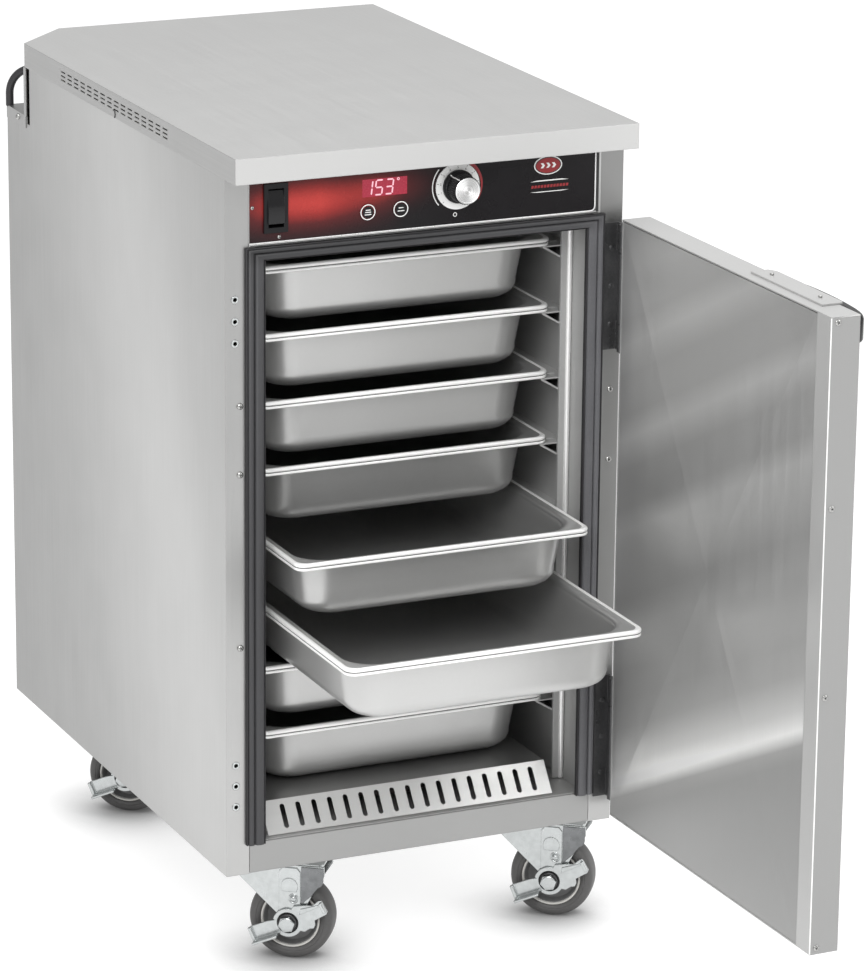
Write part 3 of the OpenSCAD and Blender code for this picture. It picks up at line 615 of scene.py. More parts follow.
# ---------- pans ----------
def pan_mesh():
    lo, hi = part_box("pan_1")
    w, l, d = (hi.x - lo.x) / 2 / MM, (hi.y - lo.y) / 2 / MM, (hi.z - lo.z) / MM
    # inset from the rim's outer edge, height under the rim's top, corner radius
    lip = [(2.4, -7.7, 10), (1.4, -8.0, 11), (0.5, -7.7, 11.6), (0.1, -6.8, 12), (0.2, -5.7, 12),
           (0.8, -5.0, 11.6)]
    groove = [(0.8, -5.0, 11.6), (1.7, -4.8, 11), (1.7, -4.3, 11), (0.7, -4.1, 11.6)]
    bead = [(0.7, -4.1, 11.6), (0.15, -3.4, 12), (0.0, -2.3, 12), (0.3, -1.1, 12), (1.0, -0.35, 11.6),
            (2.1, 0.0, 11.2), (3.3, -0.2, 11.6),
            (4.4, -0.85, 12.4)]
    flange = [(4.4, -0.85, 12.4), (5.6, -1.3, 14), (7.6, -1.4, 19), (9.6, -1.6, 28), (10.8, -2.2, 34),
              (11.6, -3.4, 38), (12.0, -5.2, 39.5)]
    body = [(12.0, -5.2, 39.5), (12.6, -9.0, 40), (18.6, -d + 19, 37)]
    body += [(18.6 + 17 * (1 - math.cos(math.radians(a))) + 0.4 * a / 90,
              -d + 19 - 18.2 * math.sin(math.radians(a)),
              37 - 14 * a / 90) for a in (12, 25, 38, 52, 66, 80)]
    body += [(40, -d + 0.75, 22), (52, -d + 0.9, 14)]
    # the sheet's underside, back from the turned-down lip to the middle
    under = [(2.4, -7.7, 10), (2.7, -6.5, 9.8), (2.6, -2.2, 10), (5.4, -2.1, 14), (9.6, -2.4, 28),
             (11.4, -4.0, 38)]
    under += [(i + 0.9, max(z - 0.75, -d), max(r - 0.5, 3)) for i, z, r in body[1:]]
    s = Shape()
    # the lip and bead take the bright rim look, a painted highlight, and the groove the dark look, painted
    # shade
    for rows, mat in ((lip, 1), (groove, 2), (bead, 1), (flange, 0), (body, 0), (under, 0)):
        s.loft([[(x, y, z) for x, y in round_rect(w - i, l - i, r)] for i, z, r in rows], False, mat=mat)
    for i, z, r in (body[-1], under[-1]):
        ring = [(x, y, z) for x, y in round_rect(w - i, l - i, r)]
        s.add(ring, [tuple(range(len(ring)))])
    return s.mesh("pan_look", weld=True)


pan_data = pan_mesh()
for i in range(1, 9):
    node = f"pan_{i}"
    lo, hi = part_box(node)
    place = Matrix.Translation(((lo.x + hi.x) / 2, (lo.y + hi.y) / 2, hi.z))
    piece(f"pan_look_{i}", pan_data, ["pan", "rim", "groove"], node, place, [node], smooth=50)


# ---------- casters ----------
def wheel_place(tag):
    """x back along the trail, y up, z along the axle towards the brake; the origin is on the axle."""
    c = centre(f"tyre_{tag}")
    b = centre(f"brake_{tag}") - c
    out = Vector((b.x, b.y, 0))
    axle = Vector((-math.sin(CASTER_TURN), -math.cos(CASTER_TURN), 0))
    if out.dot(axle) < 0:
        axle = -axle
    x = Vector((0, 0, 1)).cross(axle)
    m = Matrix((x, Vector((0, 0, 1)), axle)).transposed().to_4x4()
    return Matrix.Translation(c) @ m


def tyre_mesh():
    half = [(31.2, 12.6), (31.8, 14.4), (33.2, 15.5), (35.2, 15.9), (36.0, 15.5), (36.6, 15.9), (38.8, 15.7),
            (41.0, 14.8),
            (42.7, 13.2), (43.8, 10.8), (44.3, 7.6), (44.45, 3.8)]
    prof = half + [(44.5, 0)] + [(r, -z) for r, z in reversed(half)]
    return Shape().lathe(prof, 96, closed=True).mesh("tyre_look")


def hub_mesh():
    s = Shape()
    face = [(5.0, 16), (11.6, 16), (12.4, 15.2), (12.8, 8.0), (14.5, 6.4), (22.0, 5.4), (25.6, 6.6),
            (27.2, 9.4), (28.2, 12.6), (31.3, 12.9)]
    s.lathe(face + [(r, -z) for r, z in reversed(face)], 64, closed=True)
    return s.mesh("hub_look")


def ring_mesh():
    s = Shape()
    for sgn in (1, -1):
        s.lathe([(28.9, 11.0 * sgn), (28.9, 13.8 * sgn), (29.4, 14.8 * sgn), (30.4, 15.0 * sgn),
                 (31.3, 14.3 * sgn), (31.3, 11.0 * sgn)],
                96, closed=True)
    return s.mesh("rim_look")


LEG_IN, LEG_T, TRAIL = 19.0, 3.0, 37.0      # fork leg: inner face, thickness; axle behind the swivel
TOP_Y = 61.5      # underside of the fork's crown over the axle


def fork_mesh():
    s = Shape()
    turn = Matrix.Rotation(math.radians(-90), 4, "X")   # lathe axis z onto the caster's upright y
    # crown with its raised ball race, about the swivel's axis
    swivel = Matrix.Translation((-TRAIL, 0, 0)) @ turn
    s.lathe([(6.2, TOP_Y + 2.8), (9, TOP_Y + 3.4), (22, TOP_Y + 3.5), (28.5, TOP_Y + 2.6),
             (30.0, TOP_Y + 1.0), (29.8, TOP_Y - 0.4),
             (24, TOP_Y - 3.0), (6.2, TOP_Y - 3.0)], 64, swivel, closed=True)
    s.slab([(-38, -LEG_IN - 1), (31, -LEG_IN - 1), (36, -LEG_IN + 3), (36, LEG_IN - 3), (31, LEG_IN + 1),
            (-38, LEG_IN + 1)],
           TOP_Y - 0.2, TOP_Y + 2.6, turn @ Matrix.Diagonal((1, -1, 1, 1)))
    leg = [(-67, TOP_Y + 1), (-61, TOP_Y - 7), (-10.6, 6.5)] + arc(0, 0, 11, 150, 318, 14) + \
          [(14.0, 8.0), (20.5, 22), (30, 40.5), (37.5, 52), (37.5, TOP_Y + 1)]
    for z0 in (LEG_IN, -LEG_IN - LEG_T):
        s.slab(leg, z0, z0 + LEG_T)
        lift, flip = (LEG_T - 0.4, 1) if z0 > 0 else (0.4, -1)
        s.lathe([(11.5, 0), (11.5, 0.8), (10.4, 1.3), (4.9, 1.3), (4.9, 0)], 40,
                Matrix.Translation((0, 0, z0 + lift)) @ Matrix.Diagonal((1, 1, flip, 1)), closed=True)
    z = LEG_IN + LEG_T
    # pressed strap over the brake's leg, its arch and its rivet
    s.slab([(-10, 12), (12.6, 15), (12.6, TOP_Y - 6), (9, TOP_Y - 1.5), (-6, TOP_Y - 1.5), (-10, TOP_Y - 6)],
           z - 0.2, z + 1.5)
    s.slab([(-7.5, 38)] + arc(1.2, 40, 8.8, 180, 0, 12) + [(10, 38), (8.6, 34), (-6.2, 34)], z + 1.4, z + 2.3)
    s.lathe([(0, z + 4.2), (1.8, z + 4.0), (3.0, z + 3.2), (3.6, z + 2.0), (3.6, z + 1.2)], 28,
            Matrix.Translation((5.5, 26.5, 0)))
    s.lathe([(5.4, z + 1.2), (5.2, z + 2.0), (4.6, z + 2.2), (3.8, z + 1.4)], 28,
            Matrix.Translation((5.5, 26.5, 0)))
    # shoulder behind the strap, in a darker copy of the zinc: a painted dark reflection
    s.slab([(13.5, TOP_Y), (37, TOP_Y), (37.5, 54)] + arc(28, 48, 9, 10, -70, 8) + [(24, 30), (13.5, 20)],
           z - 0.3, z + 0.9, mat=1)
    s.lathe([(9.2, z + 0.1), (11.6, z + 0.1), (11.6, z + 1.6), (9.2, z + 1.6)], 40, mat=2, closed=True)
    return s.mesh("fork_look")


def bolt_mesh():
    s = Shape()
    z = LEG_IN + LEG_T
    for sgn, out in ((1, z + 5), (-1, z)):
        m = Matrix.Diagonal((1, 1, sgn, 1))
        hexagon = [(8.9 * math.cos(math.radians(60 * k + 12)),
                    8.9 * math.sin(math.radians(60 * k + 12))) for k in range(6)]
        s.slab(hexagon, out + 0.1, out + 6.0, m)
        s.lathe([(7.6, out + 5.9), (7.2, out + 6.5), (4.9, out + 6.9), (0, out + 7.0)], 36, m)
    s.lathe([(4.8, -z - 2), (4.8, z + 4)], 24)
    return s.mesh("bolt_look")


def sleeve_mesh():
    z = LEG_IN + LEG_T
    return Shape().lathe([(4.9, z), (9.2, z), (9.2, z + 4.2), (8.6, z + 4.6), (4.9, z + 4.6)], 48,
                         closed=True).mesh("sleeve_look")


def brake_mesh():
    """Cam plate round the axle with a rising wing on the right and a foot pedal at the lower left."""
    s = Shape()
    z = LEG_IN + LEG_T + 1.7
    t = 2.6
    n = 40

    def turn(deg, p):
        c, q = math.cos(math.radians(deg)), math.sin(math.radians(deg))
        return (p[0] * c - p[1] * q, p[0] * q + p[1] * c)

    wing = [turn(28, p) for p in ((12, -16.0), (19, -15.0), (22.5, -16.4), (26, -13.6), (27.5, -9.0),
                                  (42.0, -8.0), (44.6, -5.6), (44.0, 7.4),
                                  (41.6, 8.8), (33, 6.6), (24, 10.5), (14, 14.0))]
    pedal = [turn(203, p) for p in ((12, -7.5), (20, -8.6), (40, -8.6), (42, -7.0), (42, 7.6), (20, 7.6),
                                    (12, 7.8))]
    outline = wing + arc(0, 0, 15.6, 76, 171, 12) + pedal + arc(0, 0, 15.6, 236, 330, 10)
    hole = arc(0, 0, 11.2, 0, 360, n)[:-1]
    # plate with its hole, stitched through a bmesh fill
    bm = bmesh.new()
    for loop in (outline, hole):
        vs = [bm.verts.new((x, y, 0)) for x, y in loop]
        for a, b in zip(vs, vs[1:] + vs[:1]):
            bm.edges.new((a, b))
    bmesh.ops.triangle_fill(bm, edges=bm.edges[:], use_beauty=True)
    bmesh.ops.dissolve_limit(bm, angle_limit=0.01, verts=bm.verts[:], edges=bm.edges[:])
    ext = bmesh.ops.extrude_face_region(bm, geom=bm.faces[:])
    bmesh.ops.translate(bm, verts=[g for g in ext["geom"] if isinstance(g, bmesh.types.BMVert)],
                        vec=(0, 0, t))
    bm.verts.index_update()
    s.add([(v.co.x, v.co.y, v.co.z + z) for v in bm.verts], [[v.index for v in f.verts] for f in bm.faces])
    bm.free()
    r = Matrix.Rotation(math.radians(203), 4, "Z")
    s.box((14, 6.4, z + 0.4), (42, 9.0, z + 13), r)          # tread, seen edge on from below
    s.box((38.5, -8.4, z + 1.5), (42.0, 7.4, z + 6.5), r)      # upturned end
    w = Matrix.Rotation(math.radians(28), 4, "Z")
    s.box((41.2, -5.0, z + 1.0), (44.4, 6.6, z + 8.0), w)      # turned-out tip of the wing
    s.slab([(16, 3.0), (40, 2.6), (40, 4.6), (20, 8.4)], z + t - 0.2, z + t + 1.1, w)   # stiffening fold
    return s.mesh("brake_look")


caster_parts = {"tyre": tyre_mesh(), "hub": hub_mesh(), "rim": ring_mesh(), "fork": fork_mesh(),
                "bolt": bolt_mesh(),
                "sleeve": sleeve_mesh(), "brake": brake_mesh()}
for tag in CASTERS:
    place = wheel_place(tag)
    piece(f"tyre_look_{tag}", caster_parts["tyre"], "tyre", f"roller_{tag}", place,
          [f"tyre_{tag}"])
    piece(f"hub_look_{tag}", caster_parts["hub"], "hub", f"roller_{tag}", place,
          [f"wheel_{tag}"])
    piece(f"rim_look_{tag}", caster_parts["rim"], "ring", f"roller_{tag}", place)
    piece(f"fork_look_{tag}", caster_parts["fork"], ["zinc", "shoulder", "mark"], f"caster_{tag}",
          place, [f"fork_{tag}"], bevel=0.5)
    piece(f"bolt_look_{tag}", caster_parts["bolt"], "zinc", f"caster_{tag}", place, bevel=0.35)
    piece(f"sleeve_look_{tag}", caster_parts["sleeve"], "hinge", f"caster_{tag}", place)
    piece(f"brake_look_{tag}", caster_parts["brake"], "zinc", f"lever_{tag}", place,
          [f"brake_{tag}"], bevel=0.45)


# ---------- screws and rivets ----------
def screw_shape(s, r, out, matrix):
    """Domed head standing out along z, with its cross recess drawn as black bars: painted shade in the
    recess.
    """
    s.lathe([(r, -0.6), (r, out * 0.35), (r * 0.9, out * 0.62), (r * 0.66, out * 0.86),
             (r * 0.36, out * 0.98), (0, out)], 28, matrix)
    # the cross recess in black: painted shade
    for k in (0, 90):
        s.box((-r * 0.5, -r * 0.11, out * 0.55), (r * 0.5, r * 0.11, out * 1.01),
              matrix @ Matrix.Rotation(math.radians(k + 20), 4, "Z"), 1)


def facing(p, normal):
    """A frame at p, given in metres, whose z points along normal."""
    z = Vector(normal).normalized()
    x = z.orthogonal().normalized()
    m = Matrix((x, z.cross(x), z)).transposed().to_4x4()
    return Matrix.Translation(Vector(p) / MM) @ m


def islands(node):
    """Boxes of a CAD node's separate parts: (lowest, highest) corners."""
    bm = bmesh.new()
    bm.from_mesh(frame["nodes"][node].data)
    bmesh.ops.remove_doubles(bm, verts=bm.verts, dist=1e-5)
    seen, out = set(), []
    for v in bm.verts:
        if v in seen:
            continue
        stack, group = [v], []
        seen.add(v)
        while stack:
            a = stack.pop()
            group.append(a.co.copy())
            for e in a.link_edges:
                b = e.other_vert(a)
                if b not in seen:
                    seen.add(b)
                    stack.append(b)
        out.append((Vector([min(g[i] for g in group) for i in range(3)]),
                    Vector([max(g[i] for g in group) for i in range(3)])))
    bm.free()
    return out


def screws(name, node, body):
    s = Shape()
    for lo, hi in islands(node):
        size = hi - lo
        c = (lo + hi) / 2
        axis = min(range(3), key=lambda k: size[k])
        if abs(size.x - size.y) < 0.2 * max(size.x, size.y):          # a head on the slanting corner face
            n = Vector((-1, 1, 0)).normalized()
            base, r, out = c - n * 0.0015, size.z / 2, 0.003
        else:
            n = Vector([0, 0, 0])
            sign = {0: -1 if c.x < 0 or body == "door" else 1, 1: -1, 2: 1}[axis]
            if body == "door" and axis == 1:
                sign = -1
            if body == "door" and axis == 0:
                sign = 1 if c.x > centre("door_shell").x else -1
            n[axis] = sign
            base, r, out = c - n * size[axis] / 2, max(size) / 2, size[axis]
        screw_shape(s, r / MM, out / MM, facing(base, n))
    return piece(name, s.mesh(name + "_mesh"), ["screw", "mark"], body, None, [node], smooth=40)


screws("body_screw_heads", "body_screws", "cabinet")
screws("door_screw_heads", "door_fasteners", "door")


# ---------- controls ----------
def front_frame(x, z, y):
    """A frame on the front: x to the right, y up, z out of the front."""
    m = Matrix(((1, 0, 0), (0, 0, -1), (0, 1, 0))).to_4x4()
    return Matrix.Translation(at(x, y, z)) @ m


def ring_shape(s, r0, r1, a0, a1, z0, z1, n=48, matrix=None, mat=0, taper=0.0):
    """Flat arc between two radii; with taper it narrows towards its end."""
    outer, inner = [], []
    for i in range(n + 1):
        a = math.radians(a0 + (a1 - a0) * i / n)
        w = (r1 - r0) * (1 - taper * i / n)
        outer.append((r1 * math.cos(a), r1 * math.sin(a)))
        inner.append(((r1 - w) * math.cos(a), (r1 - w) * math.sin(a)))
    p = [(x, y, z) for z in (z0, z1) for line in (outer, inner) for x, y in line]
    k = n + 1
    f = []
    for i in range(n):
        f += [(i, i + 1, k + i + 1, k + i), (2 * k + i, 3 * k + i, 3 * k + i + 1, 2 * k + i + 1),
              (i, 2 * k + i, 2 * k + i + 1, i + 1), (k + i, k + i + 1, 3 * k + i + 1, 3 * k + i)]
    f += [(0, k, 3 * k, 2 * k), (n, 2 * k + n, 3 * k + n, k + n)]
    s.add(p, f, matrix, mat)


def rel(node):
    """A node's centre in millimetres from ORIGIN."""
    return (centre(node) - ORIGIN) / MM


OVER = 0.8      # the film's thickness in front of the body
# seven-segment reading
SEG = {"1": "bc", "5": "afgcd", "3": "abgcd"}


def segments():
    s = Shape()
    h, w, t = 14.6, 7.4, 1.5      # a digit's height and width, a bar's thickness
    for k, ch in enumerate("153"):
        for seg in SEG[ch]:
            cx, cy, horiz = {"a": (0, h / 2, 1), "g": (0, 0, 1), "d": (0, -h / 2, 1), "b": (w / 2, h / 4, 0),
                             "c": (w / 2, -h / 4, 0),
                             "f": (-w / 2, h / 4, 0), "e": (-w / 2, -h / 4, 0)}[seg]
            ln = (w if horiz else h / 2) - 0.7
            pts = [(-ln / 2, 0), (-ln / 2 + t / 2, t / 2), (ln / 2 - t / 2, t / 2), (ln / 2, 0),
                   (ln / 2 - t / 2, -t / 2), (-ln / 2 + t / 2, -t / 2)]
            if not horiz:
                pts = [(-y, x) for x, y in pts]
            pts = [(x + cx + 0.12 * (y + cy) + (k - 1.55) * 11.2, y + cy) for x, y in pts]
            s.slab(pts, -0.1, 0.15)
    ring_shape(s, 0.7, 1.5, 0, 360, -0.1, 0.15, 20, Matrix.Translation((14.6, h / 2 - 0.4, 0)))
    return s


lens_front = local_box("display_lens")[0].y
piece("display_digits", segments().mesh("digits"), "digit", "cabinet",
      front_frame(-46.8, 704.5, lens_front), smooth=0)

for node in ("button_left", "button_right"):
    c = rel(node)
    face = (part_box(node)[0].y - ORIGIN.y) / MM
    s = Shape()
    ring_shape(s, 7.0, 8.0, 0, 360, -0.05, 0.12)
    piece(node + "_ring", s.mesh(node + "_ring"), "ink", "cabinet",
          front_frame(c.x, c.z, -OVER - 1.0), smooth=0)
    s = Shape()
    rows = [(2.2, 2.6), (0, 3.2), (-2.4, 3.6)] if node == "button_left" else [(1.5, 2.6), (-1.6, 3.6)]
    for y, w in rows:
        s.box((-w, y - 0.45, -0.05), (w, y + 0.45, 0.1))
    s.lathe([(5.5, -0.2), (5.2, 0.02), (0, 0.04)], 40, mat=1)
    piece(node + "_face", s.mesh(node + "_face"), ["ink", "black"], node,
          front_frame(c.x, c.z, face), smooth=0)

# printed marks round the dial, the badge and the stripes
dial = rel("dial_plate")
s = Shape()
ring_shape(s, 26.6, 27.7, 138, 222, -0.05, 0.06)
ring_shape(s, 1.5, 2.2, 0, 360, -0.05, 0.06, 24, Matrix.Translation((-2.2, -29.2, 0)))
piece("dial_white_arc", s.mesh("dial_white_arc"), "ink", "cabinet",
      front_frame(dial.x, dial.z, -OVER), smooth=0)
s = Shape()
ring_shape(s, 24.0, 27.8, 58, -34, -0.05, 0.06, taper=0.75)
piece("dial_red_arc", s.mesh("dial_red_arc"), "red", "cabinet",
      front_frame(dial.x, dial.z, -OVER), smooth=0)
s = Shape()
plate_front = (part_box("dial_plate")[0].y - ORIGIN.y) / MM
for k in range(11):
    a = math.radians(225 - 27 * k)
    m = Matrix.Rotation(a, 4, "Z")
    s.box((21.2, -0.22, -0.05), (23.0, 0.22, 0.05), m)
piece("dial_ticks", s.mesh("dial_ticks"), "mark", "cabinet",
      front_frame(dial.x, dial.z, plate_front), smooth=0)
for k in range(1, 10):
    a = math.radians(225 - 27 * k)
    cu = bpy.data.curves.new(f"numeral_{k}", "FONT")
    cu.body, cu.size, cu.align_x, cu.align_y, cu.extrude = str(k), 3.4 * MM, "CENTER", "CENTER", 0.04 * MM
    tmp = bpy.data.objects.new("numeral", cu)
    bpy.context.scene.collection.objects.link(tmp)
    bpy.context.view_layer.update()
    me = bpy.data.meshes.new_from_object(tmp.evaluated_get(bpy.context.evaluated_depsgraph_get()))
    bpy.data.objects.remove(tmp)
    me.materials.clear()
    spot = Matrix.Translation((19.0 * MM * math.cos(a), 19.0 * MM * math.sin(a), 0))
    piece(f"dial_number_{k}", me, "mark", "cabinet",
          front_frame(dial.x, dial.z, plate_front) @ spot, smooth=0)

s = Shape()
oval = lambda w, h: [(w * x, h * y) for x, y in arc(0, 0, 1, 0, 360, 48)[:-1]]
s.slab(oval(15.6, 9.6), -0.05, 0.30)
s.slab(oval(14.4, 8.6), 0.1, 0.38, mat=1)
s.slab(oval(13.4, 7.7), 0.1, 0.46, mat=2)
for dx in (-6.2, 0, 6.2):
    s.slab([(dx - 2.2, -2.6), (dx + 0.6, -2.6), (dx + 2.6, 0), (dx + 0.6, 2.6), (dx - 2.2, 2.6),
            (dx - 0.2, 0)], 0.2, 0.56)
piece("badge", s.mesh("badge"), ["ink", "mark", "red"], "cabinet",
      front_frame(132, 711, -OVER), smooth=0)
s = Shape()
for y, bow in ((5.5, 0.9), (-5.0, -1.0)):
    s.slab([(-21.5, y - 0.15), (21.5, y - 0.15), (14, y + bow + 0.1),
            (-14, y + bow + 0.1)][::1 if bow > 0 else -1], -0.05, 0.06)
for k in range(12):
    s.slab([(-20.5 + 3.5 * k, -1.3), (-17.9 + 3.5 * k, -1.3), (-17.3 + 3.5 * k, 1.5),
            (-19.9 + 3.5 * k, 1.5)], -0.05, 0.06, mat=1)
piece("badge_stripes", s.mesh("badge_stripes"), ["ink", "red"], "cabinet",
      front_frame(134, 689.5, -OVER), smooth=0)


# a bead along the film's lower edge and up its right end, in a very bright steel: a painted highlight on the
# frame's rounded edge; with a dark strip beyond it
s = Shape()
o_lo, o_hi = local_box("overlay")
bend = [(o_hi.x - 5 + 5 * math.sin(math.radians(a)), -1.3,
         o_lo.z + 4.6 - 5 * math.cos(math.radians(a))) for a in range(0, 91, 15)]
s.tube([(o_lo.x - 0.5, -1.3, o_lo.z - 0.4)] + bend + [(o_hi.x, -1.3, o_hi.z - 2)], 0.75, 8)
s.box((o_hi.x + 1.0, -2.25, o_lo.z - 1.5), (o_hi.x + 3.6, -1.9, o_hi.z - 1), mat=1)
s.box((o_lo.x, -2.2, o_lo.z - 2.6), (o_hi.x + 3.6, -1.9, o_lo.z - 1.9), mat=1)
piece("film_edge", s.mesh("film_edge"), ["post", "mark"], "cabinet", HOME)

# knob: black fluted body, turned metal face
knob = rel("dial_knob")
k_lo, k_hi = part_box("dial_knob")
depth = (k_hi.y - k_lo.y) / MM
s = Shape()
flutes = []
for i in range(144):
    a = 2 * math.pi * i / 144
    flutes.append((14.1 + 0.38 * math.cos(36 * a), a))
rings = []
for z, g in ((4.2, 1.4), (5.2, 0.1), (6.0, 0.0), (depth - 2.6, 0.0), (depth - 1.6, -0.1),
             (depth - 1.0, -0.9)):
    rings.append([((r + g) * math.cos(a), (r + g) * math.sin(a), z) for r, a in flutes])
s.loft(rings, True)
s.lathe([(0, 0), (16.6, 0), (17.0, 0.6), (17.0, 3.2), (16.4, 4.2), (0, 4.6)], 72)
place = front_frame(knob.x, knob.z, (k_hi.y - ORIGIN.y) / MM)
piece("knob_body", s.mesh("knob_body"), "black", "dial", place, ["dial_knob"], smooth=30)
s = Shape()
s.lathe([(13.4, depth - 1.2), (13.4, depth - 0.4), (12.9, depth), (12.0, depth + 0.02), (11.6, depth - 0.25),
         (0, depth - 0.25)], 72)
piece("knob_face", s.mesh("knob_face"), "cap", "dial", place, smooth=30)
s = Shape()
s.box((-0.55, 12.4, 5.0), (0.55, 14.75, depth - 2.4))
s.box((-0.55, 14.0, 4.3), (0.55, 16.9, 4.7))
piece("knob_pointer", s.mesh("knob_pointer"), "ink", "dial",
      place @ Matrix.Rotation(math.radians(38), 4, "Z"), smooth=0)

# rocker: dished paddle, pressed in at its top
r_lo, r_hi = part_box("rocker")
w = (r_hi.x - r_lo.x) / 2 / MM - 0.3
s = Shape()
prof = [(-17, -9.4), (-12.5, -10.3), (-6, -11.4), (0, -11.7), (6, -11.4), (12.5, -10.3), (17, -9.4),
        (16.3, -3), (5, 2.6), (-5, 2.6), (-16.3, -3)]
rest = math.radians(7)
outline = [(z * math.cos(rest) - y * math.sin(rest), z * math.sin(rest) + y * math.cos(rest)) for z,
           y in prof]
rings = [[(x, y, z) for z, y in outline] for x in (-w, -w + 0.8, w - 0.8, w)]
s.loft(rings, True)
rocker_axis = at(rel("rocker_bezel").x, 6, 694)
piece("rocker_look", s.mesh("rocker_look"), "gloss", "rocker",
      Matrix.Translation(rocker_axis), ["rocker"], bevel=0.6, smooth=30)


# ---------- gasket: a bulbed strip round the opening ----------
def gasket():
    s = Shape()
    a, b = local_box("door_gasket")
    # the narrow low ribs take look 1, a darker copy of the rubber: painted shade at the edges and between the
    # bulbs
    # outer and inner edge from the outside, how far it stands out, look
    ribs = [(0.0, 1.9, -4.6, 1), (2.2, 8.2, -6.0, 0), (8.2, 9.2, -4.0, 1), (9.2, 18.9, -6.9, 0),
            (19.2, 20.7, -5.0, 1)]
    for x0, x1, y, mat in ribs:
        o0, o1 = b.x - x0, b.x - x1
        zt0, zt1 = b.z - x0 * 0.676, b.z - x1 * 0.676
        prof = [(0.0, 0.0), (0.0, y * 0.72), (0.16, y * 0.93), (0.5, y), (0.84, y * 0.93), (1.0, y * 0.72),
                (1.0, 0.0)]
        rings = []
        for sx, z_end in ((-1, 0), (-1, 1), (1, 1), (1, 0)):
            ring = []
            for t, yy in prof:
                x = o0 + (o1 - o0) * t
                z = (zt0 + (zt1 - zt0) * t) if z_end else a.z
                ring.append((sx * x, yy, z))
            rings.append(ring)
        s.loft(rings, True, mat=mat)
    return s.mesh("gasket_look")


piece("gasket_look", gasket(), ["gasket", "gasket_dark"], "cabinet", HOME, ["door_gasket"],
      smooth=50)

# ---------- door grip: arched pull with round edges ----------
def grip():
    g = (centre("door_grip") - ORIGIN) / MM
    lo, hi = local_box("door_grip")
    s = Shape()
    rings = []
    half = (hi.y - lo.y) / 2
    out = hi.x - lo.x + 5      # it stands a little prouder and higher than the CAD grip
    lo.z, hi.z = lo.z + 5, hi.z + 5
    for i in range(37):
        a = math.pi * i / 36
        o = out * math.sin(a) ** 0.5 if 0 < i < 36 else 0.0
        inner = (out - 10) * math.sin(a) ** 0.5 if 0 < i < 36 else 0.0
        y_out, y_in = half * math.cos(a), (half - 16) * math.cos(a)
        ring = []
        for t, z in ((0, 0.12), (0, 0.88), (0.12, 1.0), (0.88, 1.0), (1, 0.88), (1, 0.12), (0.88, 0),
                     (0.12, 0)):
            ring.append((lo.x + inner + (o - inner) * t, g.y + y_in + (y_out - y_in) * t,
                         lo.z + (hi.z - lo.z) * z))
        rings.append(ring)
    s.loft(rings, True)
    return s.mesh("grip_look")


piece("grip_look", grip(), "gloss", "door", HOME, ["door_grip"], bevel=1.2, smooth=40,
      segments=3)

# ---------- small sheet-metal details ----------
# stop dimples on the pan ledges
s = Shape()
rack_lo, rack_hi = local_box("pan_racks")
for i in range(1, 9):
    z = (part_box(f"pan_{i}")[1].z - ORIGIN.z) / MM - 8.4
    for sx in (-1, 1):
        s.lathe([(6.0, -0.4), (5.2, 0.5), (3.0, 1.2), (0, 1.5)], 24,
                Matrix.Translation((sx * 171, rack_lo.y + 22, z)) @ Matrix.Diagonal((1, 0.6, 1, 1)))
piece("ledge_dimples", s.mesh("ledge_dimples"), "rack", "cabinet", HOME)
# round edges down the front of the racks, in a very bright steel: painted highlights
s = Shape()
for sx in (-1, 1):
    s.lathe([(0, rack_lo.z + 0.3), (2.8, rack_lo.z + 0.3), (2.8, rack_hi.z - 0.3), (0, rack_hi.z - 0.3)], 24,
            Matrix.Translation((sx * (rack_hi.x - 2.8), rack_lo.y + 2.6, 0)))
piece("rack_edges", s.mesh("rack_edges"), "post", "cabinet", HOME)
# light catching the folded corner of the door's free end
s = Shape()
s.tube([(213.4, -442.9, 14), (213.4, -442.9, 652.4), (244.2, -442.3, 652.4)], 0.65, 8)
piece("door_corner", s.mesh("door_corner"), "post", "door", HOME)
# a black half-round line in the skirt's side, under the louvres: painted shade of a small half-round notch
s = Shape()
t_lo = local_box("top_cover")[0]
s.tube([(t_lo.x - 0.1, 299 - 3.6 * math.cos(math.radians(a)),
         731 + 4 * math.sin(math.radians(a))) for a in range(-60, 121, 15)], 0.8, 8)
piece("skirt_notch_shade", s.mesh("skirt_notch_shade"), "mark", "cabinet", HOME)


# ---------- floor, light, camera ----------
def floor():
    m, nt, b = shader("floor")
    n = noise(nt, (1.5, 1.5, 1.5), 2.0)
    nt.links.new(ramp(nt, n, [(0.3, (0.38, 0.38, 0.38)), (0.7, (0.40, 0.40, 0.40))]), b.inputs["Base Color"])
    b.inputs["Roughness"].default_value = 0.8
    b.inputs["Specular IOR Level"].default_value = 0.1
    # painted shadow: the floor's glow darkens only close to what stands on it
    ao = nt.nodes.new("ShaderNodeAmbientOcclusion")
    ao.samples = 16
    ao.inputs["Distance"].default_value = 0.115
    near = ramp(nt, ao.outputs["AO"], [(0.34, (0.06,) * 3), (0.68, (0.36,) * 3), (0.97, (0.78,) * 3)])
    nt.links.new(near, b.inputs["Emission Color"])
    b.inputs["Emission Strength"].default_value = 1.0
    me = mesh_of("floor", [(-40, -40, 0), (40, -40, 0), (40, 40, 0), (-40, 40, 0)], [(0, 1, 2, 3)], 1.0)
    ob = bpy.data.objects.new("floor", me)
    me.materials.append(m)
    ob.location.z = cad_box[0][2]
    bpy.context.scene.collection.objects.link(ob)


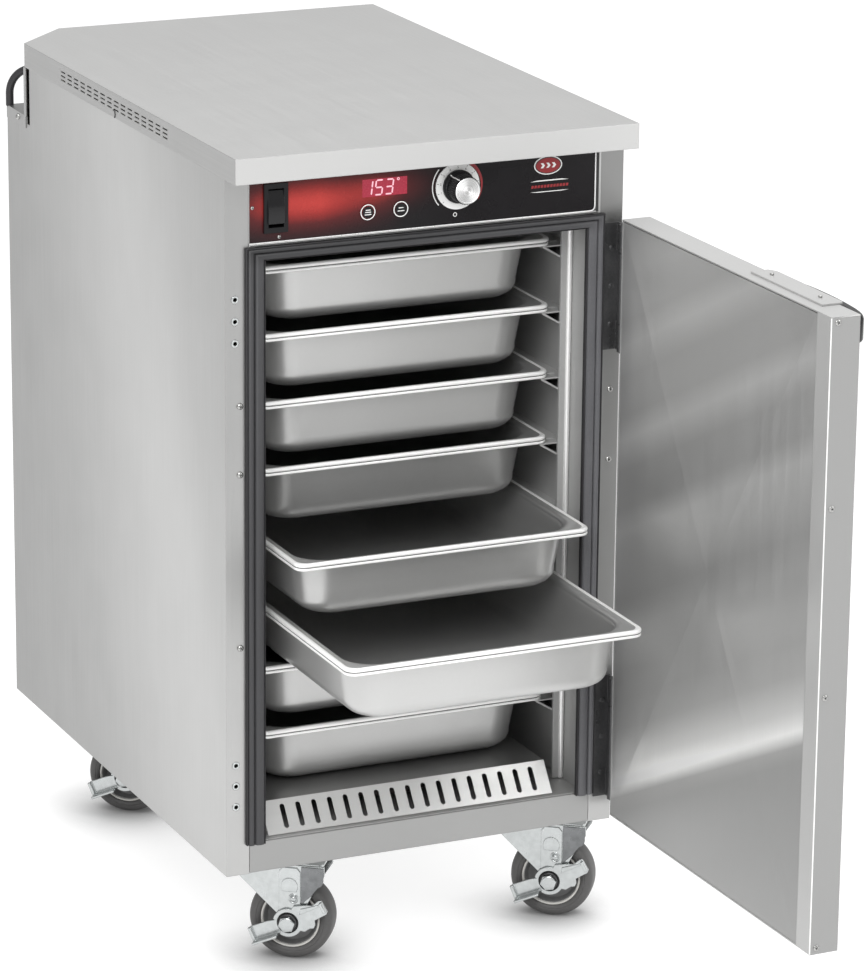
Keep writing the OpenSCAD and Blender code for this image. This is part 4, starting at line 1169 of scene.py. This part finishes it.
def world():
    w = bpy.data.worlds.new("studio")
    bpy.context.scene.world = w
    w.use_nodes = True
    nt = w.node_tree
    nt.nodes.clear()
    out = nt.nodes.new("ShaderNodeOutputWorld")
    bg = nt.nodes.new("ShaderNodeBackground")
    tc = nt.nodes.new("ShaderNodeTexCoord")
    sep = nt.nodes.new("ShaderNodeSeparateXYZ")
    nt.links.new(tc.outputs["Generated"], sep.inputs[0])
    col = ramp(nt, spread(nt, sep.outputs[2], 0, 1, (-1, 1)),
               [(0.0, (0.8,) * 3), (0.49, (0.8,) * 3), (0.52, (0.62,) * 3), (0.66, (0.74,) * 3),
                (1.0, (0.95,) * 3)])
    nt.links.new(col, bg.inputs[0])
    bg.inputs[1].default_value = 0.8
    # past the floor's edge the camera sees plain white
    plain_bg = nt.nodes.new("ShaderNodeBackground")
    plain_bg.inputs[0].default_value = (1.0, 1.0, 1.0, 1.0)
    both = nt.nodes.new("ShaderNodeMixShader")
    nt.links.new(nt.nodes.new("ShaderNodeLightPath").outputs["Is Camera Ray"], both.inputs[0])
    nt.links.new(bg.outputs[0], both.inputs[1])
    nt.links.new(plain_bg.outputs[0], both.inputs[2])
    nt.links.new(both.outputs[0], out.inputs[0])


def area(name, loc, target, size, energy):
    li = bpy.data.lights.new(name, "AREA")
    li.shape, li.size, li.size_y, li.energy = "RECTANGLE", size[0], size[1], energy
    ob = bpy.data.objects.new(name, li)
    ob.location = loc
    ob.rotation_euler = (Vector(target) - Vector(loc)).to_track_quat("-Z", "Y").to_euler()
    bpy.context.scene.collection.objects.link(ob)


floor()
world()
mid = (Vector(cad_box[0]) + Vector(cad_box[1])) / 2
area("key", at(-1600, -2300, 2700), mid, (2.2, 2.2), 75)
area("fill", at(2200, -1900, 1900), mid, (1.6, 2.2), 28)
area("over", at(0, 300, 3200), mid, (2.4, 2.4), 40)

cam_data = bpy.data.cameras.new("camera")
cam_data.lens, cam_data.sensor_width, cam_data.clip_end = 177.67, 36.0, 100
cam = bpy.data.objects.new("camera", cam_data)
bpy.context.scene.collection.objects.link(cam)
yaw, pitch, roll = (math.radians(a) for a in (24.5955, 16.8290, 0.5839))
fwd = Vector((math.sin(yaw) * math.cos(pitch), math.cos(yaw) * math.cos(pitch), -math.sin(pitch)))
side = Vector((math.cos(yaw), -math.sin(yaw), 0))
up = side.cross(fwd)
r_axis = side * math.cos(roll) + up * math.sin(roll)
u_axis = up * math.cos(roll) - side * math.sin(roll)
turn = Matrix((r_axis, u_axis, -fwd)).transposed().to_4x4()
cam.matrix_world = Matrix.Translation(at(-1921.7, -4218.3, 1792.8)) @ turn
bpy.context.scene.camera = cam
bpy.context.scene.view_settings.view_transform = "Standard"
